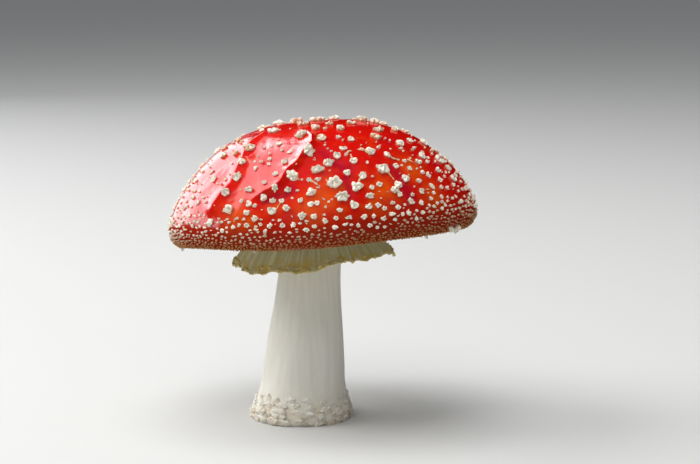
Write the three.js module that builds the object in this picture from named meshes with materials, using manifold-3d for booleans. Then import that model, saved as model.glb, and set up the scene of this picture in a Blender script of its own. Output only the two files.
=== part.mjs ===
// A fly agaric at life size, in millimetres, with +Z up and the front towards -Y.
// The origin is the middle of the flat cut under the foot, which the mushroom stands on.
import * as THREE from "three";
import { mergeVertices } from "three/addons/utils/BufferGeometryUtils.js";
import Module from "manifold-3d";

const wasm = await Module();
wasm.setup();

const DEGREE = Math.PI / 180;
const TURN = 2 * Math.PI;

// ---- driving dimensions ----

// Nothing grows quite round. Each list of waves gives how far they reach, how many there are to a
// turn, where they start, and how far they turn for each millimetre up or out.
const CAP_SWELL = [
  { size: 0.6, count: 2, start: 0.7, twist: 0 },
  { size: 0.45, count: 3, start: 0, twist: 1 / 14 },
];
const RIM_WAVES = [
  { size: 1.25, count: 1, start: 2.9, twist: 0 },
  { size: 0.95, count: 3, start: 3.25, twist: 0 },
  { size: 0.33, count: 5, start: 1.8, twist: 0 },
];
const DOME_DIPS = [{ size: 0.5, count: 2, start: 0, twist: 1 / 9 }];
const STEM_DENTS = [
  { size: 0.25, count: 2, start: 0, twist: 1 / 11 },
  { size: 0.15, count: 5, start: 0, twist: -1 / 17 },
];
const VOLVA_WAVES = [
  { size: 0.78, count: 3, start: 1, twist: 0 },
  { size: 0.52, count: 7, start: 0, twist: 0 },
];
const VOLVA_LOBES = [
  { size: 0.25, count: 9, start: 0, twist: 0 },
  { size: 0.15, count: 5, start: 0, twist: 0 },
];
const RING_LOBES = [
  { size: 0.4, count: 5, start: -1.1, twist: 0 },
  { size: 0.55, count: 8, start: -1.35, twist: 0 },
];
const RING_SWELL = [
  { size: 0.7, count: 4, start: 2, twist: 0 },
  { size: 0.4, count: 7, start: 0, twist: 0 },
];

const CAP_RADIUS = 60;
const WIDEST_HEIGHT = 7.7; // the cap's widest line, over its rim plane
const DOME_RISE = 37.5; // from the widest line up to the apex
const DOME_FULLNESS = [2.7, 1.31]; // how squarely the dome's shoulder fills out, across and up
const CURL_WIDTH = 5.5; // how far the margin turns in under the widest line
const LIP_INSET = 1.3; // the lip's inner edge, inwards from its lowest line
const LIP_HEIGHT = 1.0;
const CAP_CENTRE = [8.8, 0, 70.5]; // the middle of the rim plane
const CAP_TILT = [-4 * DEGREE, -3.8 * DEGREE]; // about X, back lower; about Y, right side higher
const FLESH_REACH = 56;
const FLESH_RISE = 29; // the flesh's hollow underside, over the rim plane
const FLESH_FULLNESS = [3, 1.6];
const FLESH_RADII = [9.5, 36, 52.5]; // where its outline turns
const FLESH_EDGE = 53.6; // where the underside meets the lip's inner wall
const RIM_TUCK = 1;
const CAP_SEGMENTS = 56;

const GILL_COUNT = 30; // long blades, with a short one between each two
const GILL_THICKNESS = 0.7;
const GILL_START = FLESH_RADII[0];
const GILL_REACH = FLESH_RADII.at(-1);
const SHORT_GILL_START = 31;
const GILL_EDGE_TOP = 17; // the free edge's height at the middle, over the rim plane
const GILL_EDGE_DROP = 15;
const GILL_LAYER = 0.9; // thickness of the layer that the blades hang from
const GAP = 0.3; // between neighbouring pieces
const SEAM_TOLERANCE = 0.05;
const STEM_CLEARANCE = 1.2; // the gills are free of the stem

const STEM_TOP = 96.6;
const STEM_LEAN = 0.0575; // millimetres to the right for each one up
const STEM_BEND = 0.9; // further to the right at the top
const BEND_START = 50;
// Height and radius up the stem, from the cut through the foot to the apex.
const STEM_OUTLINE = [
  [0, 18.8],
  [2, 19.2],
  [5, 18.6],
  [9, 17.1],
  [13, 16.2],
  [22, 15.4],
  [36, 14.1],
  [54, 12.4],
  [70, 11.5],
  [97, 11.3],
];
const VOLVA_TOP = 10.5;
const VOLVA_RINGS = 2;
const VOLVA_DEPTH = 1.6; // how far the scales stand out at their upper edge
const VOLVA_FADE = [4, 20]; // their edges wave in full from the first height, and not above the second
const STEM_HEIGHTS = [0, 2, 5.2, 5.6, 8, 10.4, 11.2, 15, 26, 40, 56, 74];
const STEM_SIDES = 45;

const RING_RADIUS = 30.5;
const RING_HEIGHT = 77; // where it leaves the stem
const RING_EDGE_HEIGHT = 63; // mean height of its free edge
const RING_STEP = 2.6; // the left half hangs lower than that, the right half higher
const RING_STEP_SLOPE = 2.8; // how sharply it passes from one to the other
const RING_DROOP = 1.9; // how late on its way out it turns down
const RING_THICKNESS = 1.0;
const RING_ROOT = 3; // thickness where it leaves the stem
const RING_GAP = 0.65; // clears the stem's dents
const RING_ROOT_REACH = 0.25; // the part of its way out over which the root thins
const RING_PARTS = [0, 0.08, 0.25, 0.45, 0.65, 0.85, 1];
const RING_PLEATS = 26;
const PLEAT_DEPTH = 0.3;

const WART_ROOT = 1.4; // how deep a wart's foot is sunk
const WART_SPREAD = 1.25; // how much wider the foot is than the wart shows
const WART_HEIGHT = [0.55, 0.33]; // in millimetres, and for each millimetre of its width
const WART_SPACING = 0.62; // how far apart two stand, for their widths together
const LARGE_WARTS = { count: 72, least: 3.1, most: 5.6, sides: 5 }; // on the back of the dome
const SMALL_WARTS = { count: 64, least: 2.2, most: 3.1, sides: 4 };
const BACK_START = 4; // how far behind the cap's middle the back's warts begin
const SKYLINE_DEPTH = 7; // how far back the warts stand that show on the dome's outline
const MARGIN_ROWS = [
  { turn: -0.3, count: 40, width: 2.6 },
  { turn: 0.3, count: 46, width: 2.2 },
];

// The larger warts of the front, as they show there from FRONT_DISTANCE away and FRONT_VIEW_RISE
// over the rim plane: millimetres to the right of the cap's middle, up from it, wide and high,
// measured at the middle's own depth.
const FRONT_VIEW_RISE = 4.1 * DEGREE;
const FRONT_DISTANCE = 790;
const FRONT_AXIS = [10.1, 2.2]; // where the view's axis passes the cap's middle
const FRONT_WARTS = [
  [-17.3, 44.0, 5.4, 2.7], [-10.8, 45.7, 5.4, 1.5], [-7.7, 43.8, 4.3, 2.7], [-2.2, 45.1, 6.2, 1.5],
  [3.9, 46.3, 5.0, 2.3], [2.4, 43.8, 3.1, 2.3], [10.9, 44.2, 4.3, 3.1], [14.4, 45.1, 4.6, 1.9],
  [19.8, 44.4, 4.6, 1.2], [23.3, 44.7, 3.9, 1.5], [27.6, 41.6, 3.5, 3.9], [31.4, 41.4, 3.5, 2.3],
  [38.8, 36.6, 3.9, 4.3], [-32.4, 37.4, 3.1, 5.0], [-38.2, 34.5, 3.1, 2.3], [53.5, 24.2, 3.1, 2.3],
  [-19.3, 39.9, 4.3, 2.3], [-8.4, 38.2, 4.6, 3.9], [-3.0, 41.8, 3.9, 3.5], [-0.7, 37.8, 4.6, 3.9],
  [6.8, 41.8, 3.9, 2.3], [11.1, 37.6, 3.1, 1.9], [21.4, 41.3, 4.6, 3.1], [20.6, 38.4, 4.6, 1.9],
  [30.3, 36.0, 3.9, 3.9], [33.4, 37.6, 3.1, 3.1], [-38.2, 31.2, 3.5, 4.6], [-33.2, 31.6, 3.1, 4.6],
  [-28.0, 33.5, 4.6, 2.7], [-30.7, 28.1, 3.1, 2.3], [-5.7, 32.4, 5.0, 4.3], [8.0, 34.1, 3.1, 1.4],
  [5.5, 31.4, 3.5, 2.7], [12.1, 29.3, 3.5, 2.3], [2.0, 28.5, 4.6, 2.7], [-1.9, 25.8, 5.4, 1.7],
  [18.7, 33.1, 4.3, 2.7], [25.2, 32.0, 3.1, 3.1], [38.8, 31.6, 3.5, 2.3], [37.6, 29.3, 3.1, 2.3],
  [45.0, 30.0, 4.3, 2.3], [48.5, 26.9, 3.1, 3.5], [45.0, 26.2, 3.1, 3.1], [-32.8, 22.5, 3.9, 3.1],
  [-42.1, 21.9, 3.1, 1.9], [-12.3, 23.3, 5.4, 4.3], [4.5, 21.1, 6.2, 4.6], [9.6, 24.8, 2.9, 2.7],
  [15.8, 23.8, 3.5, 3.1], [13.6, 19.6, 4.6, 3.9], [23.9, 26.4, 5.4, 4.6], [30.1, 20.2, 3.9, 2.7],
  [28.5, 18.4, 3.5, 1.9], [33.0, 22.7, 3.5, 3.5], [50.8, 22.9, 3.5, 2.7], [-37.1, 16.7, 3.9, 4.3],
  [-28.2, 18.2, 3.5, 1.9], [-22.9, 15.1, 3.5, 3.1], [-18.4, 18.1, 3.1, 2.7], [-13.9, 18.2, 3.1, 1.9],
  [-4.6, 17.1, 3.9, 2.7], [7.8, 15.7, 5.8, 3.5], [18.7, 16.1, 3.9, 2.1], [-36.3, 10.7, 4.6, 3.5],
  [-29.7, 9.3, 3.1, 1.9], [-26.4, 7.2, 3.1, 1.9], [-20.0, 10.3, 3.9, 3.1], [-14.4, 11.1, 3.1, 3.5],
  [-8.4, 8.4, 3.7, 2.7], [12.5, 12.4, 3.9, 3.1], [16.3, 7.8, 3.1, 1.9], [18.3, 12.0, 3.5, 1.9],
  [-43.7, 5.7, 3.5, 2.3], [27.6, 8.6, 3.1, 1.2],
];

// ---- colours ----

const CAP_RED = new THREE.MeshStandardMaterial({ color: 0xc4150b, roughness: 0.35, metalness: 0 });
const GILL_CREAM = new THREE.MeshStandardMaterial({ color: 0xeee6d2, roughness: 0.8, metalness: 0 });
const RING_IVORY = new THREE.MeshStandardMaterial({ color: 0xdcd9c2, roughness: 0.75, metalness: 0 });
const STEM_WHITE = new THREE.MeshStandardMaterial({ color: 0xebe6e4, roughness: 0.7, metalness: 0 });

// ---- helpers ----

function waved(waves, azimuth, along = 0) {
  const rise = ({ size, count, start, twist }) => size * Math.sin(count * azimuth + start + along * twist);
  return waves.reduce((sum, wave) => sum + rise(wave), 0);
}

// One repeatable stream of numbers from 0 to 1.
function seeded(seed) {
  let state = seed;
  return function next() {
    state = (state * 1664525 + 1013904223) % 4294967296;
    return state / 4294967296;
  };
}

function toSolid(geometry) {
  const bare = geometry.clone();
  bare.deleteAttribute("normal");
  bare.deleteAttribute("uv");
  const merged = mergeVertices(bare, 1e-4);
  const vertProperties = new Float32Array(merged.attributes.position.array);
  const triVerts = new Uint32Array(merged.index.array);
  return new wasm.Manifold(new wasm.Mesh({ numProp: 3, vertProperties, triVerts }));
}

function toGeometry(solid) {
  const mesh = solid.getMesh();
  const geometry = new THREE.BufferGeometry();
  geometry.setAttribute("position", new THREE.BufferAttribute(mesh.vertProperties, 3));
  geometry.setIndex(new THREE.BufferAttribute(mesh.triVerts, 1));
  geometry.computeVertexNormals();
  return geometry;
}

// The main body of a join, with the slivers along its seams cleared away, any hollow that it
// sealed filled and any loose scrap dropped.
function mainBody(solid) {
  const bodies = solid.simplify(SEAM_TOLERANCE).decompose();
  return bodies.reduce((best, body) => (body.volume() > best.volume() ? body : best));
}

// Moves each point of a geometry by shape(radius, height, azimuth), which gives x, y and z.
function reshape(geometry, shape) {
  const position = geometry.attributes.position;
  for (let i = 0; i < position.count; i += 1) {
    const radius = Math.hypot(position.getX(i), position.getY(i));
    const azimuth = Math.atan2(position.getY(i), position.getX(i));
    position.setXYZ(i, ...shape(radius, position.getZ(i), azimuth));
  }
  return geometry;
}

// Spins an outline of [radius, height] points about Z.
function spin(outline, segments) {
  const points = outline.map(([radius, height]) => new THREE.Vector2(radius, height));
  return new THREE.LatheGeometry(points, segments).rotateX(Math.PI / 2);
}

function smoothstep(low, high, value) {
  return THREE.MathUtils.smoothstep(value, low, high);
}

// ---- the cap ----

// The height of a dome of the given reach and rise at a radius.
function domed(radius, reach, rise, fullness) {
  const [across, up] = fullness;
  return rise * (1 - (Math.min(radius, reach) / reach) ** across) ** (1 / up);
}

function domeHeight(radius) {
  return WIDEST_HEIGHT + domed(radius, CAP_RADIUS, DOME_RISE, DOME_FULLNESS);
}

function fleshHeight(radius) {
  return domed(radius, FLESH_REACH, FLESH_RISE, FLESH_FULLNESS);
}

// How far the rim's waves raise a place on the cap.
function rimLift(radius, azimuth) {
  return waved(RIM_WAVES, azimuth) * (radius / CAP_RADIUS) ** 4;
}

// The cap isn't perfectly round: it swells and dips a little, and its rim waves. RIM_TUCK keeps
// the swollen rim as wide as it should be.
function capShape(radius, height, azimuth) {
  const outwards = radius / CAP_RADIUS;
  const reach = radius + (waved(CAP_SWELL, azimuth, height) - RIM_TUCK) * outwards * outwards;
  const dip = waved(DOME_DIPS, azimuth, radius) * outwards * (1 - outwards);
  return [reach * Math.cos(azimuth), reach * Math.sin(azimuth), height + rimLift(radius, azimuth) + dip];
}

// A place on the cap's skin, and the way out of it. Below 0, turn runs up the dome from the
// widest line, as an angle about the middle; above 0, it runs down the curl of the margin.
function marginSpot(turn, azimuth) {
  const curled = turn > 0;
  const across = curled ? CAP_RADIUS - CURL_WIDTH * (1 - Math.cos(turn)) : CAP_RADIUS * Math.cos(turn) ** 0.3;
  const height = curled ? WIDEST_HEIGHT * (1 - Math.sin(turn)) : domeHeight(across);
  return capSpot(across, height, azimuth, curled ? -turn : -turn * 0.8);
}

function capSpot(radius, height, azimuth, rise) {
  const place = new THREE.Vector3(...capShape(radius, height, azimuth));
  const out = new THREE.Vector3(
    Math.cos(azimuth) * Math.cos(rise),
    Math.sin(azimuth) * Math.cos(rise),
    Math.sin(rise),
  );
  return { place, out };
}

function domeSpot(radius, azimuth) {
  const step = 0.2;
  const inner = Math.max(radius - step, 0);
  const outer = Math.min(radius + step, CAP_RADIUS - 0.05);
  const slope = (domeHeight(inner) - domeHeight(outer)) / (outer - inner);
  return capSpot(radius, domeHeight(radius), azimuth, Math.PI / 2 - Math.atan(slope));
}

// The spot on the dome that shows at a place in the front view. What stands nearer shows larger,
// and what the rim's waves lift shows higher.
function frontSpot(right, up) {
  const [axisRight, axisUp] = FRONT_AXIS;
  let { radius, azimuth } = levelPlace(right, up);
  for (let i = 0; i < 4; i += 1) {
    const back = radius * Math.sin(azimuth) * Math.cos(FRONT_VIEW_RISE);
    const shrink = 1 + (back - domeHeight(radius) * Math.sin(FRONT_VIEW_RISE)) / FRONT_DISTANCE;
    const across = axisRight + (right - axisRight) * shrink;
    const level = axisUp + (up - axisUp) * shrink - rimLift(radius, azimuth);
    ({ radius, azimuth } = levelPlace(across, level));
  }
  return domeSpot(radius, azimuth);
}

// The same on the round dome, as seen from far away.
function levelPlace(right, up) {
  const [, roll] = CAP_TILT;
  const across = right * Math.cos(roll) - up * Math.sin(roll);
  const level = right * Math.sin(roll) + up * Math.cos(roll);
  let near = -Math.sqrt(Math.max(CAP_RADIUS ** 2 - across ** 2, 0));
  let far = SKYLINE_DEPTH * Math.abs(Math.sin(3 * right));
  for (let i = 0; i < 30; i += 1) {
    const middle = (near + far) / 2;
    const height = domeHeight(Math.hypot(across, middle));
    const shown = height * Math.cos(FRONT_VIEW_RISE) + middle * Math.sin(FRONT_VIEW_RISE);
    if (shown > level) {
      far = middle;
    } else {
      near = middle;
    }
  }
  const radius = Math.min(Math.hypot(across, far), CAP_RADIUS - 0.3);
  return { radius, azimuth: Math.atan2(far, across) };
}

// A crumb with a few sides, its foot sunk into the skin: blunt where it is large, else pointed.
function wart({ place, out, width, depth, sides, twist }) {
  const height = WART_HEIGHT[0] + WART_HEIGHT[1] * width;
  const body = new THREE.CylinderGeometry(sides > 4 ? 0.3 : 0, 0.5, height + WART_ROOT, sides);
  body.translate(0, (height + WART_ROOT) / 2 - WART_ROOT, 0);
  body.rotateY(twist);
  body.scale(width * WART_SPREAD, 1, depth * WART_SPREAD);
  const around = new THREE.Vector3(-place.y, place.x, 0).normalize();
  const down = new THREE.Vector3().crossVectors(around, out);
  body.applyMatrix4(new THREE.Matrix4().makeBasis(around, out, down));
  body.translate(...place);
  return toSolid(body);
}

function capOutline() {
  const outline = [[0, fleshHeight(0)]];
  for (const radius of [...FLESH_RADII, FLESH_EDGE]) {
    outline.push([radius, fleshHeight(radius)]);
  }
  const lip = CAP_RADIUS - CURL_WIDTH;
  outline.push([lip - LIP_INSET, LIP_HEIGHT]);
  for (const turn of [90, 60, 30]) {
    const across = CURL_WIDTH * Math.cos(turn * DEGREE);
    outline.push([lip + across, WIDEST_HEIGHT * (1 - Math.sin(turn * DEGREE))]);
  }
  for (const radius of [1, 0.98, 0.92, 0.83, 0.7, 0.54, 0.36, 0.18, 0]) {
    outline.push([radius * CAP_RADIUS, domeHeight(radius * CAP_RADIUS)]);
  }
  return outline;
}

function tooClose(spot, width, others) {
  const near = (other) => other.place.distanceTo(spot.place) < (other.width + width) * WART_SPACING;
  return others.some(near);
}

// Scatters warts of one size range evenly over the back, clear of those already there.
function scatter(others, { count, least, most, sides }, random) {
  let placed = 0;
  for (let attempt = 0; attempt < 6000 && placed < count; attempt += 1) {
    const azimuth = random() * TURN;
    const radius = CAP_RADIUS * 0.975 * random() ** 0.42;
    const width = (least + (most - least) * random()) * (1.1 - 0.3 * radius / CAP_RADIUS);
    const spot = domeSpot(radius, azimuth);
    if (spot.place.y > BACK_START && !tooClose(spot, width, others)) {
      const depth = width * (0.7 + 0.3 * random());
      others.push({ ...spot, width, depth, sides, twist: random() * TURN });
      placed += 1;
    }
  }
}

function wartList() {
  const random = seeded(7);
  const list = FRONT_WARTS.map(([right, up, width, high]) => {
    const spot = frontSpot(right, up);
    const depth = THREE.MathUtils.clamp(high / Math.abs(spot.out.y), width * 0.6, width);
    return { ...spot, width, depth, sides: width > 3.2 ? 5 : 4, twist: random() * TURN };
  });
  scatter(list, LARGE_WARTS, random);
  scatter(list, SMALL_WARTS, random);
  for (const { turn, count, width } of MARGIN_ROWS) {
    for (let i = 0; i < count; i += 1) {
      const azimuth = (i + 0.5 * random()) * TURN / count;
      const spot = marginSpot(turn + 0.1 * random(), azimuth);
      if (!tooClose(spot, width, list)) {
        list.push({ ...spot, width, depth: width, sides: 4, twist: random() * TURN });
      }
    }
  }
  return list;
}

function makeCap() {
  let solid = toSolid(reshape(spin(capOutline(), CAP_SEGMENTS), capShape));
  for (const spot of wartList()) {
    solid = solid.add(wart(spot));
  }
  const cap = new THREE.Mesh(toGeometry(mainBody(solid)), CAP_RED);
  cap.name = "cap";
  return cap;
}

// ---- the gills ----

function gillEdge(radius) {
  return GILL_EDGE_TOP - GILL_EDGE_DROP * (radius / GILL_REACH) ** 2;
}

// The height inside the layer that a blade's upper edge is sunk to, on the layer's own facets.
function bladeRoot(radius) {
  const next = Math.max(FLESH_RADII.findIndex((each) => each >= radius), 1);
  const [inner, outer] = [FLESH_RADII[next - 1], FLESH_RADII[next]];
  const height = THREE.MathUtils.mapLinear(radius, inner, outer, fleshHeight(inner), fleshHeight(outer));
  return height - GAP - GILL_LAYER / 2;
}

function layerOutline() {
  const upper = FLESH_RADII.map((radius) => [radius - GAP, fleshHeight(radius) - GAP]);
  const lower = upper.map(([radius, height]) => [radius - GAP, height - GILL_LAYER]);
  return [...lower, ...upper.reverse(), lower[0]];
}

// One blade in the plane of the cap's axis, with its upper edge inside the layer.
function blade(start, azimuth) {
  const span = GILL_REACH - start;
  const outline = new THREE.Shape();
  outline.moveTo(start, bladeRoot(start));
  outline.lineTo(start + 0.03 * span, gillEdge(start) + 1.2);
  for (const part of [0.15, 0.6, 1]) {
    outline.lineTo(start + part * span - 2 * GAP, gillEdge(start + part * span));
  }
  for (const radius of FLESH_RADII.filter((each) => each > start + 2).reverse()) {
    outline.lineTo(radius - 2 * GAP, bladeRoot(radius));
  }
  const body = new THREE.ExtrudeGeometry(outline, { depth: GILL_THICKNESS, bevelEnabled: false });
  body.translate(0, 0, -GILL_THICKNESS / 2).rotateX(Math.PI / 2).rotateZ(azimuth);
  return toSolid(reshape(body, capShape));
}

function makeGills(intoCap) {
  let solid = toSolid(reshape(spin(layerOutline(), GILL_COUNT), capShape));
  for (let i = 0; i < GILL_COUNT; i += 1) {
    const azimuth = (i + 0.25) * TURN / GILL_COUNT;
    solid = solid.add(blade(GILL_START, azimuth));
    solid = solid.add(blade(SHORT_GILL_START + 6 * Math.sin(2.4 * i), azimuth + TURN / GILL_COUNT / 2));
  }
  const room = toSolid(stemGeometry(STEM_CLEARANCE, 16).applyMatrix4(intoCap));
  const gills = new THREE.Mesh(toGeometry(mainBody(solid.subtract(room))), GILL_CREAM);
  gills.name = "gills";
  return gills;
}

// ---- the stem ----

const stemPoints = STEM_OUTLINE.map(([height, radius]) => new THREE.Vector2(height, radius));
const stemCurve = new THREE.SplineCurve(stemPoints);

function stemRadius(height) {
  const samples = stemCurve.getPoints(STEM_OUTLINE.length * 12);
  const after = samples.findIndex((point) => point.x >= height);
  if (after <= 0) {
    return samples[0].y;
  }
  const [low, high] = [samples[after - 1], samples[after]];
  return THREE.MathUtils.mapLinear(height, low.x, high.x, low.y, high.y);
}

function stemAxis(height) {
  const bent = Math.max(height - BEND_START, 0) / (STEM_TOP - BEND_START);
  return STEM_LEAN * height + STEM_BEND * bent * bent;
}

// The volva's scales: rings of ragged lobes that stand out most at their upper edges.
function volvaRelief(height, azimuth) {
  if (height >= VOLVA_TOP) {
    return 0;
  }
  const ring = height / VOLVA_TOP * VOLVA_RINGS;
  const lobes = 0.6 + waved(VOLVA_LOBES, azimuth + Math.floor(ring));
  return VOLVA_DEPTH * lobes * (ring - Math.floor(ring));
}

function stemGeometry(extra, segments) {
  const reach = extra > 0 ? STEM_TOP + 8 : STEM_TOP;
  const heights = [...STEM_HEIGHTS, reach];
  const sides = heights.map((height) => [stemRadius(Math.min(height, STEM_TOP)) + extra, height]);
  const outline = [[0, 0], ...sides, [0, reach]];
  return reshape(spin(outline, segments), (radius, height, azimuth) => {
    const sideways = radius > 1 ? 1 : 0;
    const dents = waved(STEM_DENTS, azimuth, height);
    const out = radius + sideways * (extra > 0 ? 0 : dents + volvaRelief(height, azimuth));
    const x = out * Math.cos(azimuth);
    const y = out * Math.sin(azimuth);
    const topped = smoothstep(BEND_START, STEM_TOP, height);
    const level = -x * Math.tan(CAP_TILT[1]) + y * Math.tan(CAP_TILT[0]);
    const [full, gone] = VOLVA_FADE;
    const ragged = smoothstep(0, full, height) * (1 - smoothstep(VOLVA_TOP, gone, height));
    const wave = ragged * waved(VOLVA_WAVES, azimuth) * sideways;
    return [x + stemAxis(height), y, height + topped * level + wave];
  });
}

function makeStem() {
  const stem = new THREE.Mesh(stemGeometry(0, STEM_SIDES), STEM_WHITE);
  stem.name = "stem";
  return stem;
}

// ---- the ring ----

function ringOutline() {
  const inner = stemRadius(RING_HEIGHT) + RING_GAP;
  const upper = [];
  const lower = [];
  for (const part of RING_PARTS) {
    const radius = inner + (RING_RADIUS - inner) * part;
    const height = RING_HEIGHT - (RING_HEIGHT - RING_EDGE_HEIGHT) * part ** RING_DROOP;
    const root = Math.max(1 - part / RING_ROOT_REACH, 0);
    const thickness = RING_THICKNESS + (RING_ROOT - RING_THICKNESS) * root;
    upper.push([radius, height]);
    lower.push([radius - 0.5 * thickness * (part > 0 ? 1 : 0), height - thickness]);
  }
  return [...lower, ...upper.reverse(), lower[0]];
}

function makeRing() {
  const inner = stemRadius(RING_HEIGHT) + GAP;
  const geometry = reshape(spin(ringOutline(), 2 * RING_PLEATS), (radius, height, azimuth) => {
    const free = (radius - inner) / (RING_RADIUS - inner);
    const step = RING_STEP * Math.tanh(RING_STEP_SLOPE * Math.cos(azimuth)) * free * free;
    const lobes = waved(RING_LOBES, azimuth) * free * free;
    const pleat = PLEAT_DEPTH * Math.cos(RING_PLEATS * azimuth) * free;
    const out = radius + waved(RING_SWELL, azimuth) * free * free;
    const x = out * Math.cos(azimuth) + stemAxis(RING_HEIGHT);
    return [x, out * Math.sin(azimuth), height + step + lobes + pleat];
  });
  const ring = new THREE.Mesh(geometry, RING_IVORY);
  ring.name = "ring";
  return ring;
}

// ---- the whole mushroom ----

const head = new THREE.Group();
head.position.set(...CAP_CENTRE);
head.rotation.set(...CAP_TILT, 0);
head.updateMatrixWorld();
head.add(makeCap());
head.add(makeGills(head.matrixWorld.clone().invert()));

const mushroom = new THREE.Group();
mushroom.add(head);
mushroom.add(makeStem());
mushroom.add(makeRing());

export default mushroom;
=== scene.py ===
"""A fly agaric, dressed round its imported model.

Lengths are in millimetres in the frame's own directions, +Z up and the front towards -Y, and
become metres as each mesh is made. The cap, its warts and its gills are shaped about the middle
of the rim plane, and are then tilted and moved into place.
"""
import math
from functools import cached_property

import bpy
import numpy as np
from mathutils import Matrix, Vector


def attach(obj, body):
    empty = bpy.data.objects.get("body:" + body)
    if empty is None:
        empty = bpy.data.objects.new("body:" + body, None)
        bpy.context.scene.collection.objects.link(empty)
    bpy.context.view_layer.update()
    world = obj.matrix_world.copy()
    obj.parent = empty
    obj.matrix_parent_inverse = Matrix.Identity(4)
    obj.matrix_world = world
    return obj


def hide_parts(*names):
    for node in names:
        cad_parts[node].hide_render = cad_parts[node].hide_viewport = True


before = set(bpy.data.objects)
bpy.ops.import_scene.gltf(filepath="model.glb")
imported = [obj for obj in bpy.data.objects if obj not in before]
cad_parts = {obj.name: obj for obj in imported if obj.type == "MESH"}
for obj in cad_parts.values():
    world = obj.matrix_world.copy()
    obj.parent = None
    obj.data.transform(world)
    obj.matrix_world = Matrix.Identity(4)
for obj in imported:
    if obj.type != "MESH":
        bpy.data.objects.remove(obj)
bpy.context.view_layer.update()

MM = 0.001
TURN = 2 * math.pi

# ---- sizes that the model has too ----

# Nothing grows quite round. Each wave is how far it reaches, how many there are to a turn, where
# they start, and how far they turn for each millimetre up or out.
CAP_SWELL = ((0.6, 2, 0.7, 0), (0.45, 3, 0, 1 / 14))
RIM_WAVES = ((1.25, 1, 2.9, 0), (0.95, 3, 3.25, 0), (0.33, 5, 1.8, 0))
DOME_DIPS = ((0.5, 2, 0, 1 / 9),)
STEM_DENTS = ((0.25, 2, 0, 1 / 11), (0.15, 5, 0, -1 / 17))
VOLVA_WAVES = ((0.78, 3, 1, 0), (0.52, 7, 0, 0))
RING_LOBES = ((0.4, 5, -1.1, 0), (0.55, 8, -1.35, 0))
RING_SWELL = ((0.7, 4, 2, 0), (0.4, 7, 0, 0))

CAP_RADIUS = 60.0
WIDEST_HEIGHT = 7.7  # the cap's widest line, over its rim plane
DOME_RISE = 37.5
DOME_FULLNESS = (2.7, 1.31)
CURL_WIDTH = 5.5
LIP_INSET = 1.3
LIP_HEIGHT = 1.0
CAP_CENTRE = np.array([8.8, 0.0, 70.5])
CAP_TILT = (math.radians(-4), math.radians(-3.8))  # about X and about Y
FLESH_REACH = 56.0
FLESH_RISE = 29.0
FLESH_FULLNESS = (3, 1.6)
FLESH_EDGE = 53.6
RIM_TUCK = 1.0

GILL_REACH = 52.5
GILL_EDGE_TOP = 17.0
GILL_EDGE_DROP = 15.0
GAP = 0.3
STEM_CLEARANCE = 1.2

STEM_TOP = 96.6
STEM_LEAN = 0.0575
STEM_BEND = 0.9
BEND_START = 50.0
STEM_OUTLINE = (
    (0, 18.8), (2, 19.2), (5, 18.6), (9, 17.1), (13, 16.2),
    (22, 15.4), (36, 14.1), (54, 12.4), (70, 11.5), (97, 11.3),
)

RING_RADIUS = 30.5
RING_HEIGHT = 77.0
RING_EDGE_HEIGHT = 63.0
RING_STEP = 2.6
RING_STEP_SLOPE = 2.8
RING_DROOP = 1.9
RING_PLEATS = 26
RING_ROOT = 3.0
RING_THICKNESS = 0.8

LARGE_WARTS = {"count": 72, "least": 3.1, "most": 5.6}
SMALL_WARTS = {"count": 64, "least": 2.2, "most": 3.1}
SCATTER_TRIES = 6000
SKYLINE_DEPTH = 7.0
WART_SPACING = 0.62
LEAST_DEPTH = 0.6  # of a wart's width
BACK_REACH = 0.975  # of the cap's radius
BACK_SPREAD = 0.42
BACK_START = 4.0  # the warts placed by rule keep behind this, clear of those placed by eye

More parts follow.
